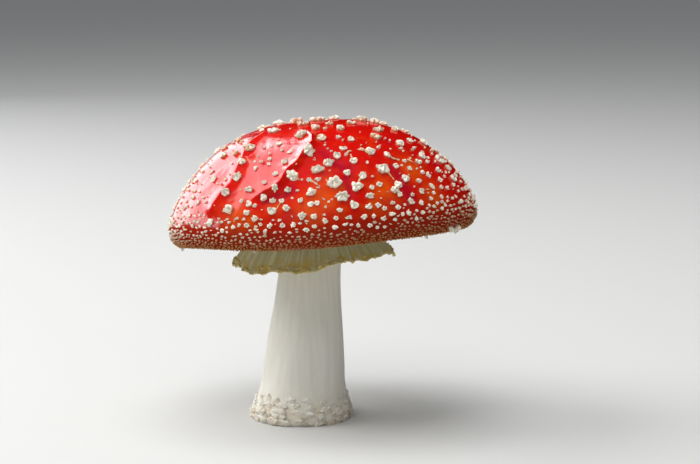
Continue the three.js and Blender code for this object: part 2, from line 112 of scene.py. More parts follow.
# Warts of the front as they show there from FRONT_DISTANCE away and FRONT_VIEW_RISE over the rim
# plane: millimetres to the right of the cap's middle, up from it, wide and high, measured at the
# middle's own depth. The model has the larger ones too.
FRONT_VIEW_RISE = math.radians(4.1)
FRONT_DISTANCE = 790.0
FRONT_AXIS = (10.1, 2.2)  # where the view's axis passes the cap's middle
VIEW_PASSES = 4
DEPTH_HALVINGS = 30
FRONT_WARTS = (
    (-17.3, 44.0, 5.4, 2.7), (-10.8, 45.7, 5.4, 1.5), (-7.7, 43.8, 4.3, 2.7),
    (-2.2, 45.1, 6.2, 1.5), (3.9, 46.3, 5.0, 2.3), (2.4, 43.8, 3.1, 2.3), (10.9, 44.2, 4.3, 3.1),
    (14.4, 45.1, 4.6, 1.9), (19.8, 44.4, 4.6, 1.2), (23.3, 44.7, 3.9, 1.5),
    (27.6, 41.6, 3.5, 3.9), (31.4, 41.4, 3.5, 2.3), (38.8, 36.6, 3.9, 4.3),
    (-32.4, 37.4, 3.1, 5.0), (-38.2, 34.5, 3.1, 2.3), (53.5, 24.2, 3.1, 2.3),
    (-19.3, 39.9, 4.3, 2.3), (-8.4, 38.2, 4.6, 3.9), (-3.0, 41.8, 3.9, 3.5),
    (-0.7, 37.8, 4.6, 3.9), (6.8, 41.8, 3.9, 2.3), (11.1, 37.6, 3.1, 1.9), (21.4, 41.3, 4.6, 3.1),
    (20.6, 38.4, 4.6, 1.9), (30.3, 36.0, 3.9, 3.9), (33.4, 37.6, 3.1, 3.1),
    (-38.2, 31.2, 3.5, 4.6), (-33.2, 31.6, 3.1, 4.6), (-28.0, 33.5, 4.6, 2.7),
    (-30.7, 28.1, 3.1, 2.3), (-5.7, 32.4, 5.0, 4.3), (8.0, 34.1, 3.1, 1.4), (5.5, 31.4, 3.5, 2.7),
    (12.1, 29.3, 3.5, 2.3), (2.0, 28.5, 4.6, 2.7), (-1.9, 25.8, 5.4, 1.7), (18.7, 33.1, 4.3, 2.7),
    (25.2, 32.0, 3.1, 3.1), (38.8, 31.6, 3.5, 2.3), (37.6, 29.3, 3.1, 2.3),
    (45.0, 30.0, 4.3, 2.3), (48.5, 26.9, 3.1, 3.5), (45.0, 26.2, 3.1, 3.1),
    (-32.8, 22.5, 3.9, 3.1), (-42.1, 21.9, 3.1, 1.9), (-12.3, 23.3, 5.4, 4.3),
    (4.5, 21.1, 6.2, 4.6), (9.6, 24.8, 2.9, 2.7), (15.8, 23.8, 3.5, 3.1), (13.6, 19.6, 4.6, 3.9),
    (23.9, 26.4, 5.4, 4.6), (30.1, 20.2, 3.9, 2.7), (28.5, 18.4, 3.5, 1.9),
    (33.0, 22.7, 3.5, 3.5), (50.8, 22.9, 3.5, 2.7), (-37.1, 16.7, 3.9, 4.3),
    (-28.2, 18.2, 3.5, 1.9), (-22.9, 15.1, 3.5, 3.1), (-18.4, 18.1, 3.1, 2.7),
    (-13.9, 18.2, 3.1, 1.9), (-4.6, 17.1, 3.9, 2.7), (7.8, 15.7, 5.8, 3.5),
    (18.7, 16.1, 3.9, 2.1), (-36.3, 10.7, 4.6, 3.5), (-29.7, 9.3, 3.1, 1.9),
    (-26.4, 7.2, 3.1, 1.9), (-20.0, 10.3, 3.9, 3.1), (-14.4, 11.1, 3.1, 3.5),
    (-8.4, 8.4, 3.7, 2.7), (12.5, 12.4, 3.9, 3.1), (16.3, 7.8, 3.1, 1.9), (18.3, 12.0, 3.5, 1.9),
    (-43.7, 5.7, 3.5, 2.3), (27.6, 8.6, 3.1, 1.2),
)
FRONT_CRUMBS = (
    (-21.6, 43.2, 2.7, 1.9), (-23.9, 41.3, 2.3, 1.2), (-34.8, 36.6, 1.9, 2.3),
    (-46.7, 25.4, 2.3, 3.1), (55.8, 21.9, 2.3, 1.9), (5.9, 38.5, 2.3, 1.9),
    (-25.9, 26.4, 2.3, 1.2), (-26.2, 28.9, 1.5, 1.2), (-20.6, 30.0, 2.3, 1.5),
    (-20.8, 27.9, 1.9, 1.5), (-17.0, 35.6, 2.7, 1.9), (-15.6, 33.1, 1.5, 1.2),
    (-12.7, 32.2, 2.3, 1.5), (-14.6, 28.3, 2.7, 2.3), (9.2, 32.0, 1.9, 0.8),
    (17.7, 28.9, 1.5, 1.5), (26.6, 34.1, 0.8, 1.5), (32.2, 29.5, 1.9, 1.5),
    (29.1, 27.7, 2.5, 1.9), (31.4, 27.9, 1.2, 0.8), (34.3, 26.7, 2.3, 2.3),
    (34.3, 30.6, 1.0, 1.0), (41.1, 30.8, 1.5, 1.9), (42.3, 32.4, 1.2, 1.9),
    (40.9, 29.5, 2.3, 1.5), (47.7, 30.0, 1.9, 1.9), (47.7, 23.6, 1.5, 1.5),
    (-37.1, 21.9, 1.5, 1.5), (-18.1, 23.6, 2.7, 1.9), (-22.2, 20.4, 2.3, 1.9),
    (-5.3, 22.1, 2.3, 1.9), (-1.9, 22.3, 3.1, 0.8), (22.5, 20.5, 2.9, 1.9),
    (30.7, 16.5, 2.7, 1.9), (39.4, 25.2, 2.3, 2.3), (41.7, 24.2, 2.7, 3.1),
    (38.0, 21.9, 2.7, 2.3), (46.3, 22.3, 2.7, 2.3), (-10.0, 18.2, 1.5, 0.8),
    (19.6, 19.4, 2.3, 1.9), (39.2, 17.8, 2.7, 2.3), (35.9, 16.5, 1.9, 1.2),
    (44.0, 17.3, 1.7, 1.2), (43.4, 19.8, 2.7, 1.5), (46.9, 19.4, 2.3, 1.9),
    (49.0, 19.0, 2.1, 1.9), (53.1, 18.0, 1.4, 1.9), (47.1, 15.7, 2.1, 2.1),
    (49.4, 15.5, 1.5, 1.9), (51.2, 15.1, 1.5, 1.5), (52.3, 15.7, 1.5, 1.9),
    (43.0, 14.9, 1.9, 1.5), (-31.3, 14.0, 1.9, 2.3), (-28.6, 12.8, 2.7, 2.3),
    (-26.4, 12.2, 1.9, 2.7), (-19.7, 14.2, 2.7, 1.9), (-16.2, 14.2, 2.3, 2.3),
    (-12.1, 15.3, 1.2, 1.2), (-9.0, 14.2, 2.7, 3.1), (-4.8, 12.8, 2.7, 2.3),
    (-2.4, 13.4, 2.3, 2.7), (-3.4, 8.0, 2.7, 1.9), (1.0, 6.4, 2.5, 2.5), (1.2, 11.8, 1.2, 1.2),
    (2.4, 13.8, 1.2, 1.2), (3.6, 14.7, 1.2, 0.8), (6.8, 10.5, 2.5, 1.9), (5.3, 7.4, 2.3, 1.9),
    (10.3, 7.6, 2.9, 1.4), (20.4, 8.2, 2.1, 2.1), (22.1, 12.4, 2.5, 2.7), (24.7, 11.3, 2.3, 3.1),
    (27.9, 13.2, 2.5, 1.2), (30.1, 11.6, 2.3, 1.7), (33.0, 12.6, 1.4, 1.7),
    (35.3, 14.0, 2.9, 2.7), (39.2, 13.4, 2.3, 3.1), (42.5, 12.4, 1.5, 1.9),
    (45.5, 13.2, 1.5, 1.2), (48.5, 12.6, 1.9, 1.2), (24.5, 7.2, 2.5, 1.9), (28.9, 7.0, 1.9, 1.2),
    (32.0, 8.9, 1.9, 1.5), (34.3, 9.5, 2.3, 1.9), (37.4, 10.3, 1.5, 1.5), (39.9, 9.7, 2.3, 1.5),
    (37.4, 7.4, 2.1, 2.3), (-40.8, 5.7, 1.2, 0.8), (-39.2, 2.7, 2.3, 1.5), (-37.5, 3.7, 1.2, 1.5),
    (-34.9, 3.9, 1.9, 1.5), (-32.6, 4.7, 1.7, 1.9), (-29.5, 4.7, 2.7, 1.9),
    (-24.3, 4.9, 1.9, 2.3), (-20.8, 4.5, 2.3, 2.7), (-15.8, 4.7, 2.5, 1.9),
    (-11.5, 4.9, 2.5, 2.3), (-6.5, 2.9, 2.7, 1.9), (-3.2, 4.3, 2.3, 1.5), (4.7, 3.9, 2.9, 1.0),
    (8.8, 4.9, 2.3, 1.2), (11.3, 4.9, 1.5, 1.2), (14.0, 4.7, 1.9, 1.7), (18.7, 4.7, 2.7, 1.2),
    (21.9, 3.9, 1.7, 1.4), (24.8, 4.1, 1.5, 1.2),
)

# ---- the skin's folds and creases, as lines in the same front view ----

# Where the left of the cap is puckered: each crest rises slowly on its left and falls steeply on
# its right. right_reach is at the crest's upper end and at its lower one.
FOLDS = (
    {
        "line": (
            (-17.6, 42.0), (-22.2, 39.3), (-27.6, 35.8), (-29.4, 33.9), (-30.8, 29.4),
            (-33.1, 24.9), (-35.0, 20.2), (-38.7, 16.5), (-42.0, 11.5), (-45.0, 6.5),
        ),
        "height": 2.0,
        "onset": 0.12,  # the part of its length over which it rises
        "left_reach": 8.0,
        "right_reach": (4.5, 3.0),
    },
    {
        "line": (
            (-20.5, 41.0), (-13.1, 41.4), (-7.2, 40.4), (-4.0, 38.0), (-4.0, 35.2), (-7.2, 31.8),
            (-9.3, 28.3), (-13.5, 24.9), (-15.9, 20.6), (-18.9, 18.0), (-23.6, 15.8), (-29.5, 14.2),
        ),
        "height": 2.5,
        "onset": 0.28,
        "left_reach": 11.0,
        "right_reach": (1.3, 1.1),
    },
)
# Soft valleys, a little sunken, where the skin is painted a darker, bluer crimson: a painted sky
# reflection and painted shade in them.
CREASES = (
    ((25.6, 29.4), (28.9, 26.2), (32.6, 20.7), (34.5, 16.6), (38.0, 12.0)),
    ((8.2, 25.0), (10.5, 19.2), (10.1, 13.8)),
    ((-9.5, 20.3), (-16.0, 15.5), (-26.0, 13.2)),
    ((-2.0, 35.0), (3.0, 30.0), (8.0, 27.0), (14.0, 26.5)),
)
# Where the red pales to orange: a place in the front view, and how far it reaches.
ORANGE_PATCHES = (
    (0.4, 14.6, 6.5), (-5.4, 10.8, 6.0), (24.3, 18.0, 6.0), (21.5, 13.0, 4.0), (35.3, 26.2, 5.5),
    (43.8, 16.5, 5.0), (-33.8, 6.6, 6.0), (-18.9, 12.6, 3.5), (-29.0, 6.0, 4.0), (7.0, 19.0, 3.5),
)
CREASE_DEPTH = 0.35
CREASE_WIDTH = 2.2
CREASE_ENDING = 0.2  # the part of its length over which a crease begins or ends
FOLD_BLUNTNESS = 0.25
FOLD_ENDING = 0.12  # the part of its length over which a fold sinks again
# The skin's unevenness: how high, how far across, and its noise's seed.
SKIN_DENTS = ((0.22, 14.0, 3), (0.05, 2.6, 5))
NORMAL_STEP = 0.4

# ---- counts of what is too fine for the model ----

BACK_CRUMBS = {"count": 70, "least": 1.2, "most": 2.3}
# Round the sides and back, low on the dome, where the crumbs crowd together.
SIDE_CRUMBS = {"count": 900, "least": 1.3, "most": 2.7, "highest": 0.62, "front": 44.0}
FINE = {"count": 760, "least": 0.8, "most": 2.3}
# The grains stand in rows round the margin, the finest at the lip.
GRAIN_ROWS = {"first": 0.7, "growth": 1.09, "height": 15.0, "coarse": 0.95}
GRAIN_SPACING = (1.5, 0.4)  # of a row's size: at the lip, and what it gains by the top
CRUMB_ROOM = 0.35  # between the fine crumbs and what stands beside them
SIDE_ROOM = 0.4
# They are tan at the lip, partly their own tan and partly painted shade, and pale farther up it, a
# little farther on the cap's right.
TAN_BELOW = 3
PALE_FROM = 14
PALE_TILT = 4
# Where the large warts on the skyline are amber-brown low on their sides, partly their own brown
# and partly painted backlight: between one x and another, above a height, and how much.
BROWN_AND_BACKLIT = ((-CAP_RADIUS, -18, 30, 0.9), (-12, CAP_RADIUS, 37, 0.7))
# Strands of veil between warts, in the front view: from a place to a place, and how thick.
STRANDS = (
    ((18.7, 33.1), (13.6, 34.0), 1.0), ((25.2, 32.0), (30.2, 30.2), 0.75),
    ((15.8, 23.8), (14.2, 20.9), 0.55), ((-20.0, 10.3), (-15.8, 14.6), 0.55),
    ((9.0, 31.4), (11.4, 33.2), 0.6), ((12.1, 29.3), (11.0, 32.0), 0.65),
    ((-5.3, 22.1), (-1.2, 19.8), 0.45), ((24.4, 25.5), (28.6, 22.2), 0.45),
    ((4.5, 21.1), (1.2, 22.3), 0.5), ((-12.3, 23.3), (-9.2, 22.1), 0.4),
    ((33.4, 30.4), (36.9, 29.2), 0.45),
)
# Shreds of veil hanging on the rim: their azimuth in degrees, how wide, and how far above the lip.
RIM_SHREDS = (
    (-33, 1.4, 3.9), (-32, 2.1, 3.4), (-31, 2.2, 2.7), (-30, 1.4, 2.0), (-28.8, 1.3, 2.8),
    (-27, 2.2, 3.4), (-26, 2.5, 2.6), (-25, 2.0, 1.7), (-24, 1.4, 0.9), (-23.5, 1.2, 1.8),
    (-44, 1.5, 0.4), (-117, 1.2, 0.2), (-171, 1.4, 0.4),
)

# ---- helpers ----


def seeded(seed):
    """One repeatable stream of numbers from 0 to 1, the same one that the model draws."""
    state = seed

    def draw():
        nonlocal state
        state = (state * 1664525 + 1013904223) % 4294967296
        return state / 4294967296

    return draw


def waved(waves, azimuth, along=0):
    return sum(
        reach * np.sin(count * azimuth + start + along * twist)
        for reach, count, start, twist in waves
    )


def smoothstep(low, high, value):
    part = np.clip((value - low) / (high - low), 0, 1)
    return part * part * (3 - 2 * part)


def lattice(cells, seed):
    """A fixed pseudo-random number from -1 to 1 for each whole-number cell."""
    x, y, z = (cells[..., axis].astype(np.int64) for axis in range(3))
    mixed = (x * 374761393 + y * 668265263 + z * 1440662683 + seed * 1274126177) & 0xFFFFFFFF
    mixed = ((mixed ^ (mixed >> 13)) * 1274126177) & 0xFFFFFFFF
    return ((mixed ^ (mixed >> 16)) & 0xFFFF) / 32767.5 - 1


def noise(points, size, seed=0):
    """Smooth value noise from -1 to 1, with lumps about size across."""
    scaled = np.asarray(points) / size
    cells = np.floor(scaled)
    part = scaled - cells
    part = part * part * (3 - 2 * part)
    total = 0
    for corner in np.ndindex(2, 2, 2):
        weight = 1
        for axis in range(3):
            weight = weight * (part[..., axis] if corner[axis] else 1 - part[..., axis])
        total = total + weight * lattice(cells + np.array(corner), seed)
    return total


def fractal(points, size, seed=0, octaves=3):
    return sum(noise(points, size / 2**i, seed + 17 * i) / 2**i for i in range(octaves))


def unit(vectors):
    return vectors / np.maximum(np.linalg.norm(vectors, axis=-1, keepdims=True), 1e-9)


def tilt_matrix():
    """The turn about X after the turn about Y."""
    tilt = np.eye(3)
    for axis, angle in enumerate(CAP_TILT):
        first, second = (axis + 1) % 3, (axis + 2) % 3
        turn = np.eye(3)
        turn[first, first] = turn[second, second] = math.cos(angle)
        turn[second, first] = math.sin(angle)
        turn[first, second] = -math.sin(angle)
        tilt = tilt @ turn
    return tilt


TILT = tilt_matrix()


def into_place(points):
    """From the cap's own directions, about the middle of its rim plane, to the frame's."""
    return points @ TILT.T + CAP_CENTRE


def out_of_place(points):
    return (points - CAP_CENTRE) @ TILT


def grid_faces(rows, columns, closed=True):
    """Quads over rows of points, each row closed on itself where it is a ring."""
    first = np.arange(rows - 1)[:, None] * columns
    column = np.arange(columns if closed else columns - 1)[None, :]
    after = (column + 1) % columns
    corners = (first + column, first + after, first + columns + after, first + columns + column)
    return np.stack(corners, -1).reshape(-1, 4)


def round_turn(count):
    """Azimuths evenly spread over a turn."""
    return np.linspace(0, TURN, count, endpoint=False)[None, :]


def fan(ring, tip):
    """Triangles from each side of a ring to one more point."""
    return np.stack([ring, np.roll(ring, -1), np.full(len(ring), tip)], -1)


def closed_rings(rings, first, last):
    """Points and faces of rings that run down a form, closed by a point beyond each end."""
    rows, columns, _ = rings.shape
    count = rows * columns
    ring = np.arange(columns)
    points = np.concatenate([rings.reshape(-1, 3), first, last])
    ends = [fan(ring, count), fan(ring + count - columns, count + 1)[:, ::-1]]
    return points, [grid_faces(rows, columns)[:, ::-1], *ends]


def cylindrical(radius, azimuth, height):
    """Points from how far out they are, which way, and how high."""
    across = radius * np.cos(azimuth), radius * np.sin(azimuth)
    return np.stack(np.broadcast_arrays(*across, height), -1)


def add_piece(name, vertices, faces, replaces, material, attributes=None, smooth=True):
    """Makes a mesh from millimetres and arrays of faces, and hides the model's part that it stands
    for.
    """
    mesh = bpy.data.meshes.new(name)
    every_face = [face for part in faces for face in part.tolist()]
    mesh.from_pydata((np.asarray(vertices) * MM).tolist(), [], every_face)
    mesh.update()
    for key, values in (attributes or {}).items():
        layer = mesh.attributes.new(key, "FLOAT", "POINT")
        layer.data.foreach_set("value", np.asarray(values, dtype=np.float32).ravel())
    mesh.polygons.foreach_set("use_smooth", [smooth] * len(mesh.polygons))
    mesh.materials.append(material)
    piece = bpy.data.objects.new(name, mesh)
    bpy.context.scene.collection.objects.link(piece)
    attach(piece, "root")
    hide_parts(replaces)


# ---- the cap's surface ----


def domed(radius, reach, rise, fullness):
    across, up = fullness
    return rise * (1 - (np.minimum(radius, reach) / reach) ** across) ** (1 / up)


def dome_height(radius):
    return WIDEST_HEIGHT + domed(radius, CAP_RADIUS, DOME_RISE, DOME_FULLNESS)


def flesh_height(radius):
    return domed(radius, FLESH_REACH, FLESH_RISE, FLESH_FULLNESS)


def rim_lift(radius, azimuth):
    """How far the rim's waves raise a place on the cap."""
    return waved(RIM_WAVES, azimuth) * (radius / CAP_RADIUS) ** 4


def cap_shape(radius, height, azimuth):
    """Moves a point of the round cap to where it lies on the uneven one, as in the model."""
    outwards = radius / CAP_RADIUS
    reach = radius + (waved(CAP_SWELL, azimuth, height) - RIM_TUCK) * outwards * outwards
    dip = waved(DOME_DIPS, azimuth, radius) * outwards * (1 - outwards)
    return cylindrical(reach, azimuth, height + rim_lift(radius, azimuth) + dip)


DOME_POINTS = 900
CURL_POINTS = 90
WAY_STEPS = 200


def outer_outline():
    """Radius and height down the skin, from the apex to the lip, and the way along it."""
    swing = np.linspace(0, math.pi / 2, DOME_POINTS)
    radius = CAP_RADIUS * np.sin(swing) ** (2 / DOME_FULLNESS[0])
    height = WIDEST_HEIGHT + DOME_RISE * np.cos(swing) ** (2 / DOME_FULLNESS[1])
    turn = np.linspace(0, math.pi / 2, CURL_POINTS)[1:]
    radius = np.append(radius, CAP_RADIUS - CURL_WIDTH * (1 - np.cos(turn)))
    height = np.append(height, WIDEST_HEIGHT * (1 - np.sin(turn)))
    steps = np.hypot(np.diff(radius), np.diff(height))
    return radius, height, np.append(0, np.cumsum(steps))


OUTLINE_RADIUS, OUTLINE_HEIGHT, OUTLINE_WAY = outer_outline()
SKIN_LENGTH = OUTLINE_WAY[-1]
WIDEST_WAY = OUTLINE_WAY[DOME_POINTS - 1]


def way_of(radius):
    """How far down the skin from the apex a radius of the dome lies."""
    return np.interp(radius, OUTLINE_RADIUS[:DOME_POINTS], OUTLINE_WAY[:DOME_POINTS])


def plain_skin(way, azimuth):
    radius = np.interp(way, OUTLINE_WAY, OUTLINE_RADIUS)
    height = np.interp(way, OUTLINE_WAY, OUTLINE_HEIGHT)
    return cap_shape(radius, height, azimuth)


def plain_normal(way, azimuth):
    ends = np.maximum(way - NORMAL_STEP, 0), np.minimum(way + NORMAL_STEP, SKIN_LENGTH)
    out, fall = (
        np.interp(ends[1], OUTLINE_WAY, line) - np.interp(ends[0], OUTLINE_WAY, line)
        for line in (OUTLINE_RADIUS, OUTLINE_HEIGHT)
    )
    return unit(cylindrical(-fall, azimuth, out))


def front_place(right, up):
    """Radius and azimuth of the spot on the round dome that shows at a place in the front view."""
    radius, azimuth = level_place(right, up)
    for _ in range(VIEW_PASSES):
        behind = radius * math.sin(azimuth) * math.cos(FRONT_VIEW_RISE)
        behind -= float(dome_height(radius)) * math.sin(FRONT_VIEW_RISE)
        shrink = 1 + behind / FRONT_DISTANCE
        across = FRONT_AXIS[0] + (right - FRONT_AXIS[0]) * shrink
        level = FRONT_AXIS[1] + (up - FRONT_AXIS[1]) * shrink - rim_lift(radius, azimuth)
        radius, azimuth = level_place(across, level)
    return radius, azimuth


def level_place(right, up):
    """The same, as seen from far away."""
    roll = CAP_TILT[1]
    across = right * math.cos(roll) - up * math.sin(roll)
    level = right * math.sin(roll) + up * math.cos(roll)
    near = -math.sqrt(max(CAP_RADIUS**2 - across**2, 0))
    far = SKYLINE_DEPTH * abs(math.sin(3 * right))
    for _ in range(DEPTH_HALVINGS):
        middle = (near + far) / 2
        height = dome_height(math.hypot(across, middle))
        shown = height * math.cos(FRONT_VIEW_RISE) + middle * math.sin(FRONT_VIEW_RISE)
        if shown > level:
            far = middle
        else:
            near = middle
    return min(math.hypot(across, far), CAP_RADIUS - 0.3), math.atan2(far, across)


def front_view(points):
    """Where points of the cap show in the front view: to the right and up, from nearby."""
    roll = CAP_TILT[1]
    behind = points[:, 1] * math.cos(FRONT_VIEW_RISE) - points[:, 2] * math.sin(FRONT_VIEW_RISE)
    level = points[:, 2] * math.cos(FRONT_VIEW_RISE) + points[:, 1] * math.sin(FRONT_VIEW_RISE)
    shown = np.stack([
        points[:, 0] * math.cos(roll) + level * math.sin(roll),
        level * math.cos(roll) - points[:, 0] * math.sin(roll),
    ], -1)
    return FRONT_AXIS + (shown - FRONT_AXIS) / (1 + behind / FRONT_DISTANCE)[:, None]


def front_way(right, up):
    """How far down the skin, and at what azimuth, a place of the front view lies, curl and all."""
    radius, azimuth = front_place(right, up)
    ways = np.linspace(way_of(radius), SKIN_LENGTH, WAY_STEPS)
    shown = front_view(plain_skin(ways, np.full(WAY_STEPS, azimuth)))
    return ways[np.argmin(np.abs(shown[:, 1] - up))], azimuth


def on_dome(line):
    """The points of a front-view line, on the uneven cap."""
    places = np.array([front_place(right, up) for right, up in line])
    return plain_skin(way_of(places[:, 0]), places[:, 1])


def along_line(points, normals, line):
    """How far each point is from a line on the skin, to its right, and how far along it, 0 to 1."""
    starts, ends = line[:-1], line[1:]
    best = np.full(len(points), 1e9)
    side = np.zeros(len(points))
    along = np.zeros(len(points))
    for index, (start, end) in enumerate(zip(starts, ends)):
        edge = end - start
        part = np.clip((points - start) @ edge / (edge @ edge), 0, 1)
        offset = points - (start + part[:, None] * edge)
        distance = np.linalg.norm(offset, axis=1)
        nearer = distance < best
        best = np.where(nearer, distance, best)
        turned = np.einsum("ij,ij->i", np.cross(edge, offset), normals)
        side = np.where(nearer, np.where(turned > 0, 1.0, -1.0), side)
        along = np.where(nearer, (index + part) / len(starts), along)
    return best * side, along


FOLD_LINES = [on_dome(fold["line"]) for fold in FOLDS]
CREASE_LINES = [on_dome(line) for line in CREASES]
PATCH_MIDDLES = on_dome([(right, up) for right, up, _ in ORANGE_PATCHES])
SPOT_STEP = 0.5


def crease_at(points, normals):
    """How far into a crease each point of the skin is, 0 to 1."""
    depth = np.zeros(len(points))
    for line in CREASE_LINES:
        away, along = along_line(points, normals, line)
        ends = smoothstep(0, CREASE_ENDING, along) * smoothstep(0, CREASE_ENDING, 1 - along)
        depth = np.maximum(depth, np.exp(-((away / CREASE_WIDTH) ** 2)) * ends)
    return depth


def orange_at(points):
    """How far the red has paled at each point, by the patches of the front and by noise behind."""
    pale = np.zeros(len(points))
    for middle, (_, _, reach) in zip(PATCH_MIDDLES, ORANGE_PATCHES):
        ragged = 1 + 0.35 * noise(points, 4.0, 9)
        away = np.linalg.norm(points - middle, axis=1) / (reach * ragged)
        pale = np.maximum(pale, np.exp(-(away**2)))
    behind = smoothstep(-8, 8, points[:, 1]) * smoothstep(0.15, 0.7, noise(points, 18.0, 10))
    return np.maximum(pale, behind)


def relief(points, normals):
    """How far the skin stands out of the plain form: its folds, creases and dents."""
    raised = sum(high * fractal(points, across, seed, 2) for high, across, seed in SKIN_DENTS)
    for fold, line in zip(FOLDS, FOLD_LINES):
        away, along = along_line(points, normals, line)
        blunt = np.hypot(away, FOLD_BLUNTNESS)
        reach = fold["left_reach"]
        left = 0.5 * np.exp(-blunt / reach) + 0.5 * np.exp(-3 * blunt / reach)
        upper, lower = fold["right_reach"]
        right = np.exp(-blunt / (upper + (lower - upper) * smoothstep(0, 0.5, along)))
        ends = smoothstep(0, fold["onset"], along) * smoothstep(0, FOLD_ENDING, 1 - along)
        raised = raised + fold["height"] * np.where(away < 0, left, right) * ends
    return raised - CREASE_DEPTH * crease_at(points, normals)


def skin(way, azimuth):
    """The finished skin's points."""
    shape = np.broadcast(way, azimuth).shape
    way = np.broadcast_to(way, shape).ravel()
    azimuth = np.broadcast_to(azimuth, shape).ravel()
    points = plain_skin(way, azimuth)
    normals = plain_normal(way, azimuth)
    points = points + normals * relief(points, normals)[:, None]
    return points.reshape(*shape, 3)


def skin_spots(way, azimuth):
    """Places on the finished skin, and the way out of it there."""
    turn = SPOT_STEP / np.maximum(np.interp(way, OUTLINE_WAY, OUTLINE_RADIUS), 1)
    below = skin(np.minimum(way + SPOT_STEP, SKIN_LENGTH), azimuth)
    above = skin(np.maximum(way - SPOT_STEP, 0), azimuth)
    around = skin(way, azimuth + turn) - skin(way, azimuth - turn)
    return skin(way, azimuth), unit(np.cross(below - above, around))


SKIN_COLUMNS = 460
SKIN_ROWS = 184
UNDER_ROWS = 8
FINEST_SIDE = math.radians(-112)  # the folds' side, where the skin's columns stand closer
SIDE_CROWDING = 0.45
# The red darkens towards the lip as painted shade.
MARGIN_WIDTH = 12.0  # over which the red darkens, down to the lip


def make_cap(material):
    even = round_turn(SKIN_COLUMNS)
    azimuth = even - SIDE_CROWDING * np.sin(even - FINEST_SIDE)
    way = np.linspace(0, SKIN_LENGTH, SKIN_ROWS + 1)[1:, None]
    outer = skin(way, azimuth)
    lip = CAP_RADIUS - CURL_WIDTH
    under = [(lip - 0.5 * LIP_INSET, 0.1), (lip - LIP_INSET, LIP_HEIGHT)]
    inner_radii = FLESH_EDGE * np.sin(np.linspace(math.pi / 2, 0, UNDER_ROWS + 1))[:-1]
    under = np.array(under + [(radius, flesh_height(radius)) for radius in inner_radii])
    inner = cap_shape(under[:, :1], under[:, 1:], azimuth)
    middle = np.zeros(1)
    hollow = cap_shape(middle, flesh_height(middle), middle)
    rings = np.concatenate([outer, inner])
    points, faces = closed_rings(rings, skin(middle, middle), hollow)

    outside = outer.reshape(-1, 3)
    ways, turns = (np.broadcast_to(part, outer.shape[:2]).ravel() for part in (way, azimuth))
    on_skin = {
        # How far into a crease: it paints a sky reflection and shade into the colour.
        "painted_crease_sheen": crease_at(outside, plain_normal(ways, turns)),
        "orange": orange_at(outside),
        # Painted shade, deepening down to the lip.
        "margin": smoothstep(WIDEST_WAY - MARGIN_WIDTH, SKIN_LENGTH, ways),
        "flesh": np.zeros(len(outside)),
    }
    inside = {"margin": 1, "flesh": 1}
    attributes = {}
    for key, values in on_skin.items():
        rest = np.full(len(points) - len(outside), inside.get(key, 0))
        rest[-2] = 0  # the apex
        attributes[key] = np.append(values, rest)
    add_piece("cap_skin", into_place(points), faces, "cap", material, attributes)


# ---- warts ----


def model_warts():
    """The model's own warts, large and small, drawn in its order, and the stream they leave."""
    random = seeded(7)
    warts = []
    for right, up, width, high in FRONT_WARTS:
        radius, azimuth = front_place(right, up)
        depth = depth_of(high, width, way_of(radius), azimuth)
        warts.append(make_wart(radius, azimuth, width, depth, random() * TURN))
    scatter(warts, LARGE_WARTS, random)
    large = len(warts)
    scatter(warts, SMALL_WARTS, random)
    return warts[:large], warts[large:], random


def depth_of(high, width, way, azimuth):
    """How far a wart reaches up the slope, from how high it shows in the front view."""
    facing = abs(plain_normal(way, azimuth)[1])
    return min(max(high / facing, width * LEAST_DEPTH), width)


def make_wart(radius, azimuth, width, depth, twist):
    """A wart of the dome, known as fine_wart's are."""
    place = cap_shape(radius, dome_height(radius), azimuth)
    return dict(fine_wart(float(way_of(radius)), azimuth, width, depth, twist), place=place)


def too_close(place, width, warts):
    places, widths = spread_out(warts)
    return bool(np.any(np.linalg.norm(places - place, axis=1) < (widths + width) * WART_SPACING))


def scatter(warts, sizes, random):
    """Warts of one size range over the back, clear of those already there."""
    placed = 0
    for _ in range(SCATTER_TRIES):
        if placed == sizes["count"]:
            break
        azimuth = random() * TURN
        radius = CAP_RADIUS * BACK_REACH * random() ** BACK_SPREAD
        width = sizes["least"] + (sizes["most"] - sizes["least"]) * random()
        width *= 1.1 - 0.3 * radius / CAP_RADIUS
        place = cap_shape(radius, dome_height(radius), azimuth)
        if place[1] > BACK_START and not too_close(place, width, warts):
            depth = width * (0.7 + 0.3 * random())
            warts.append(make_wart(radius, azimuth, width, depth, random() * TURN))
            placed += 1


def fine_wart(way, azimuth, width, depth, twist=0.0):
    place = plain_skin(np.array(way), np.array(azimuth))
    return dict(way=way, azimuth=azimuth, width=width, depth=depth, twist=twist, place=place)


def free_of(others, place, room):
    """Whether a place is at least room beyond half the width of every other wart."""
    places, widths = others
    return bool(np.all(np.linalg.norm(places - place, axis=1) > widths / 2 + room))


def spread_out(warts):
    return np.array([wart["place"] for wart in warts]), np.array([wart["width"] for wart in warts])


def scatter_fine(warts, random):
    """Fine crumbs between the warts, more of them lower down."""
    fresh = []
    others = spread_out(warts)
    for _ in range(FINE["count"]):
        azimuth = random() * TURN
        way = WIDEST_WAY * random() ** 0.3
        width = FINE["least"] + (FINE["most"] - FINE["least"]) * random() ** 1.5
        depth = width * (0.25 + 0.55 * random())
        wart = fine_wart(way, azimuth, width, depth, 1.6 * random() - 0.8)
        if free_of(others, wart["place"], width / 2 + CRUMB_ROOM):
            fresh.append(wart)
    return fresh


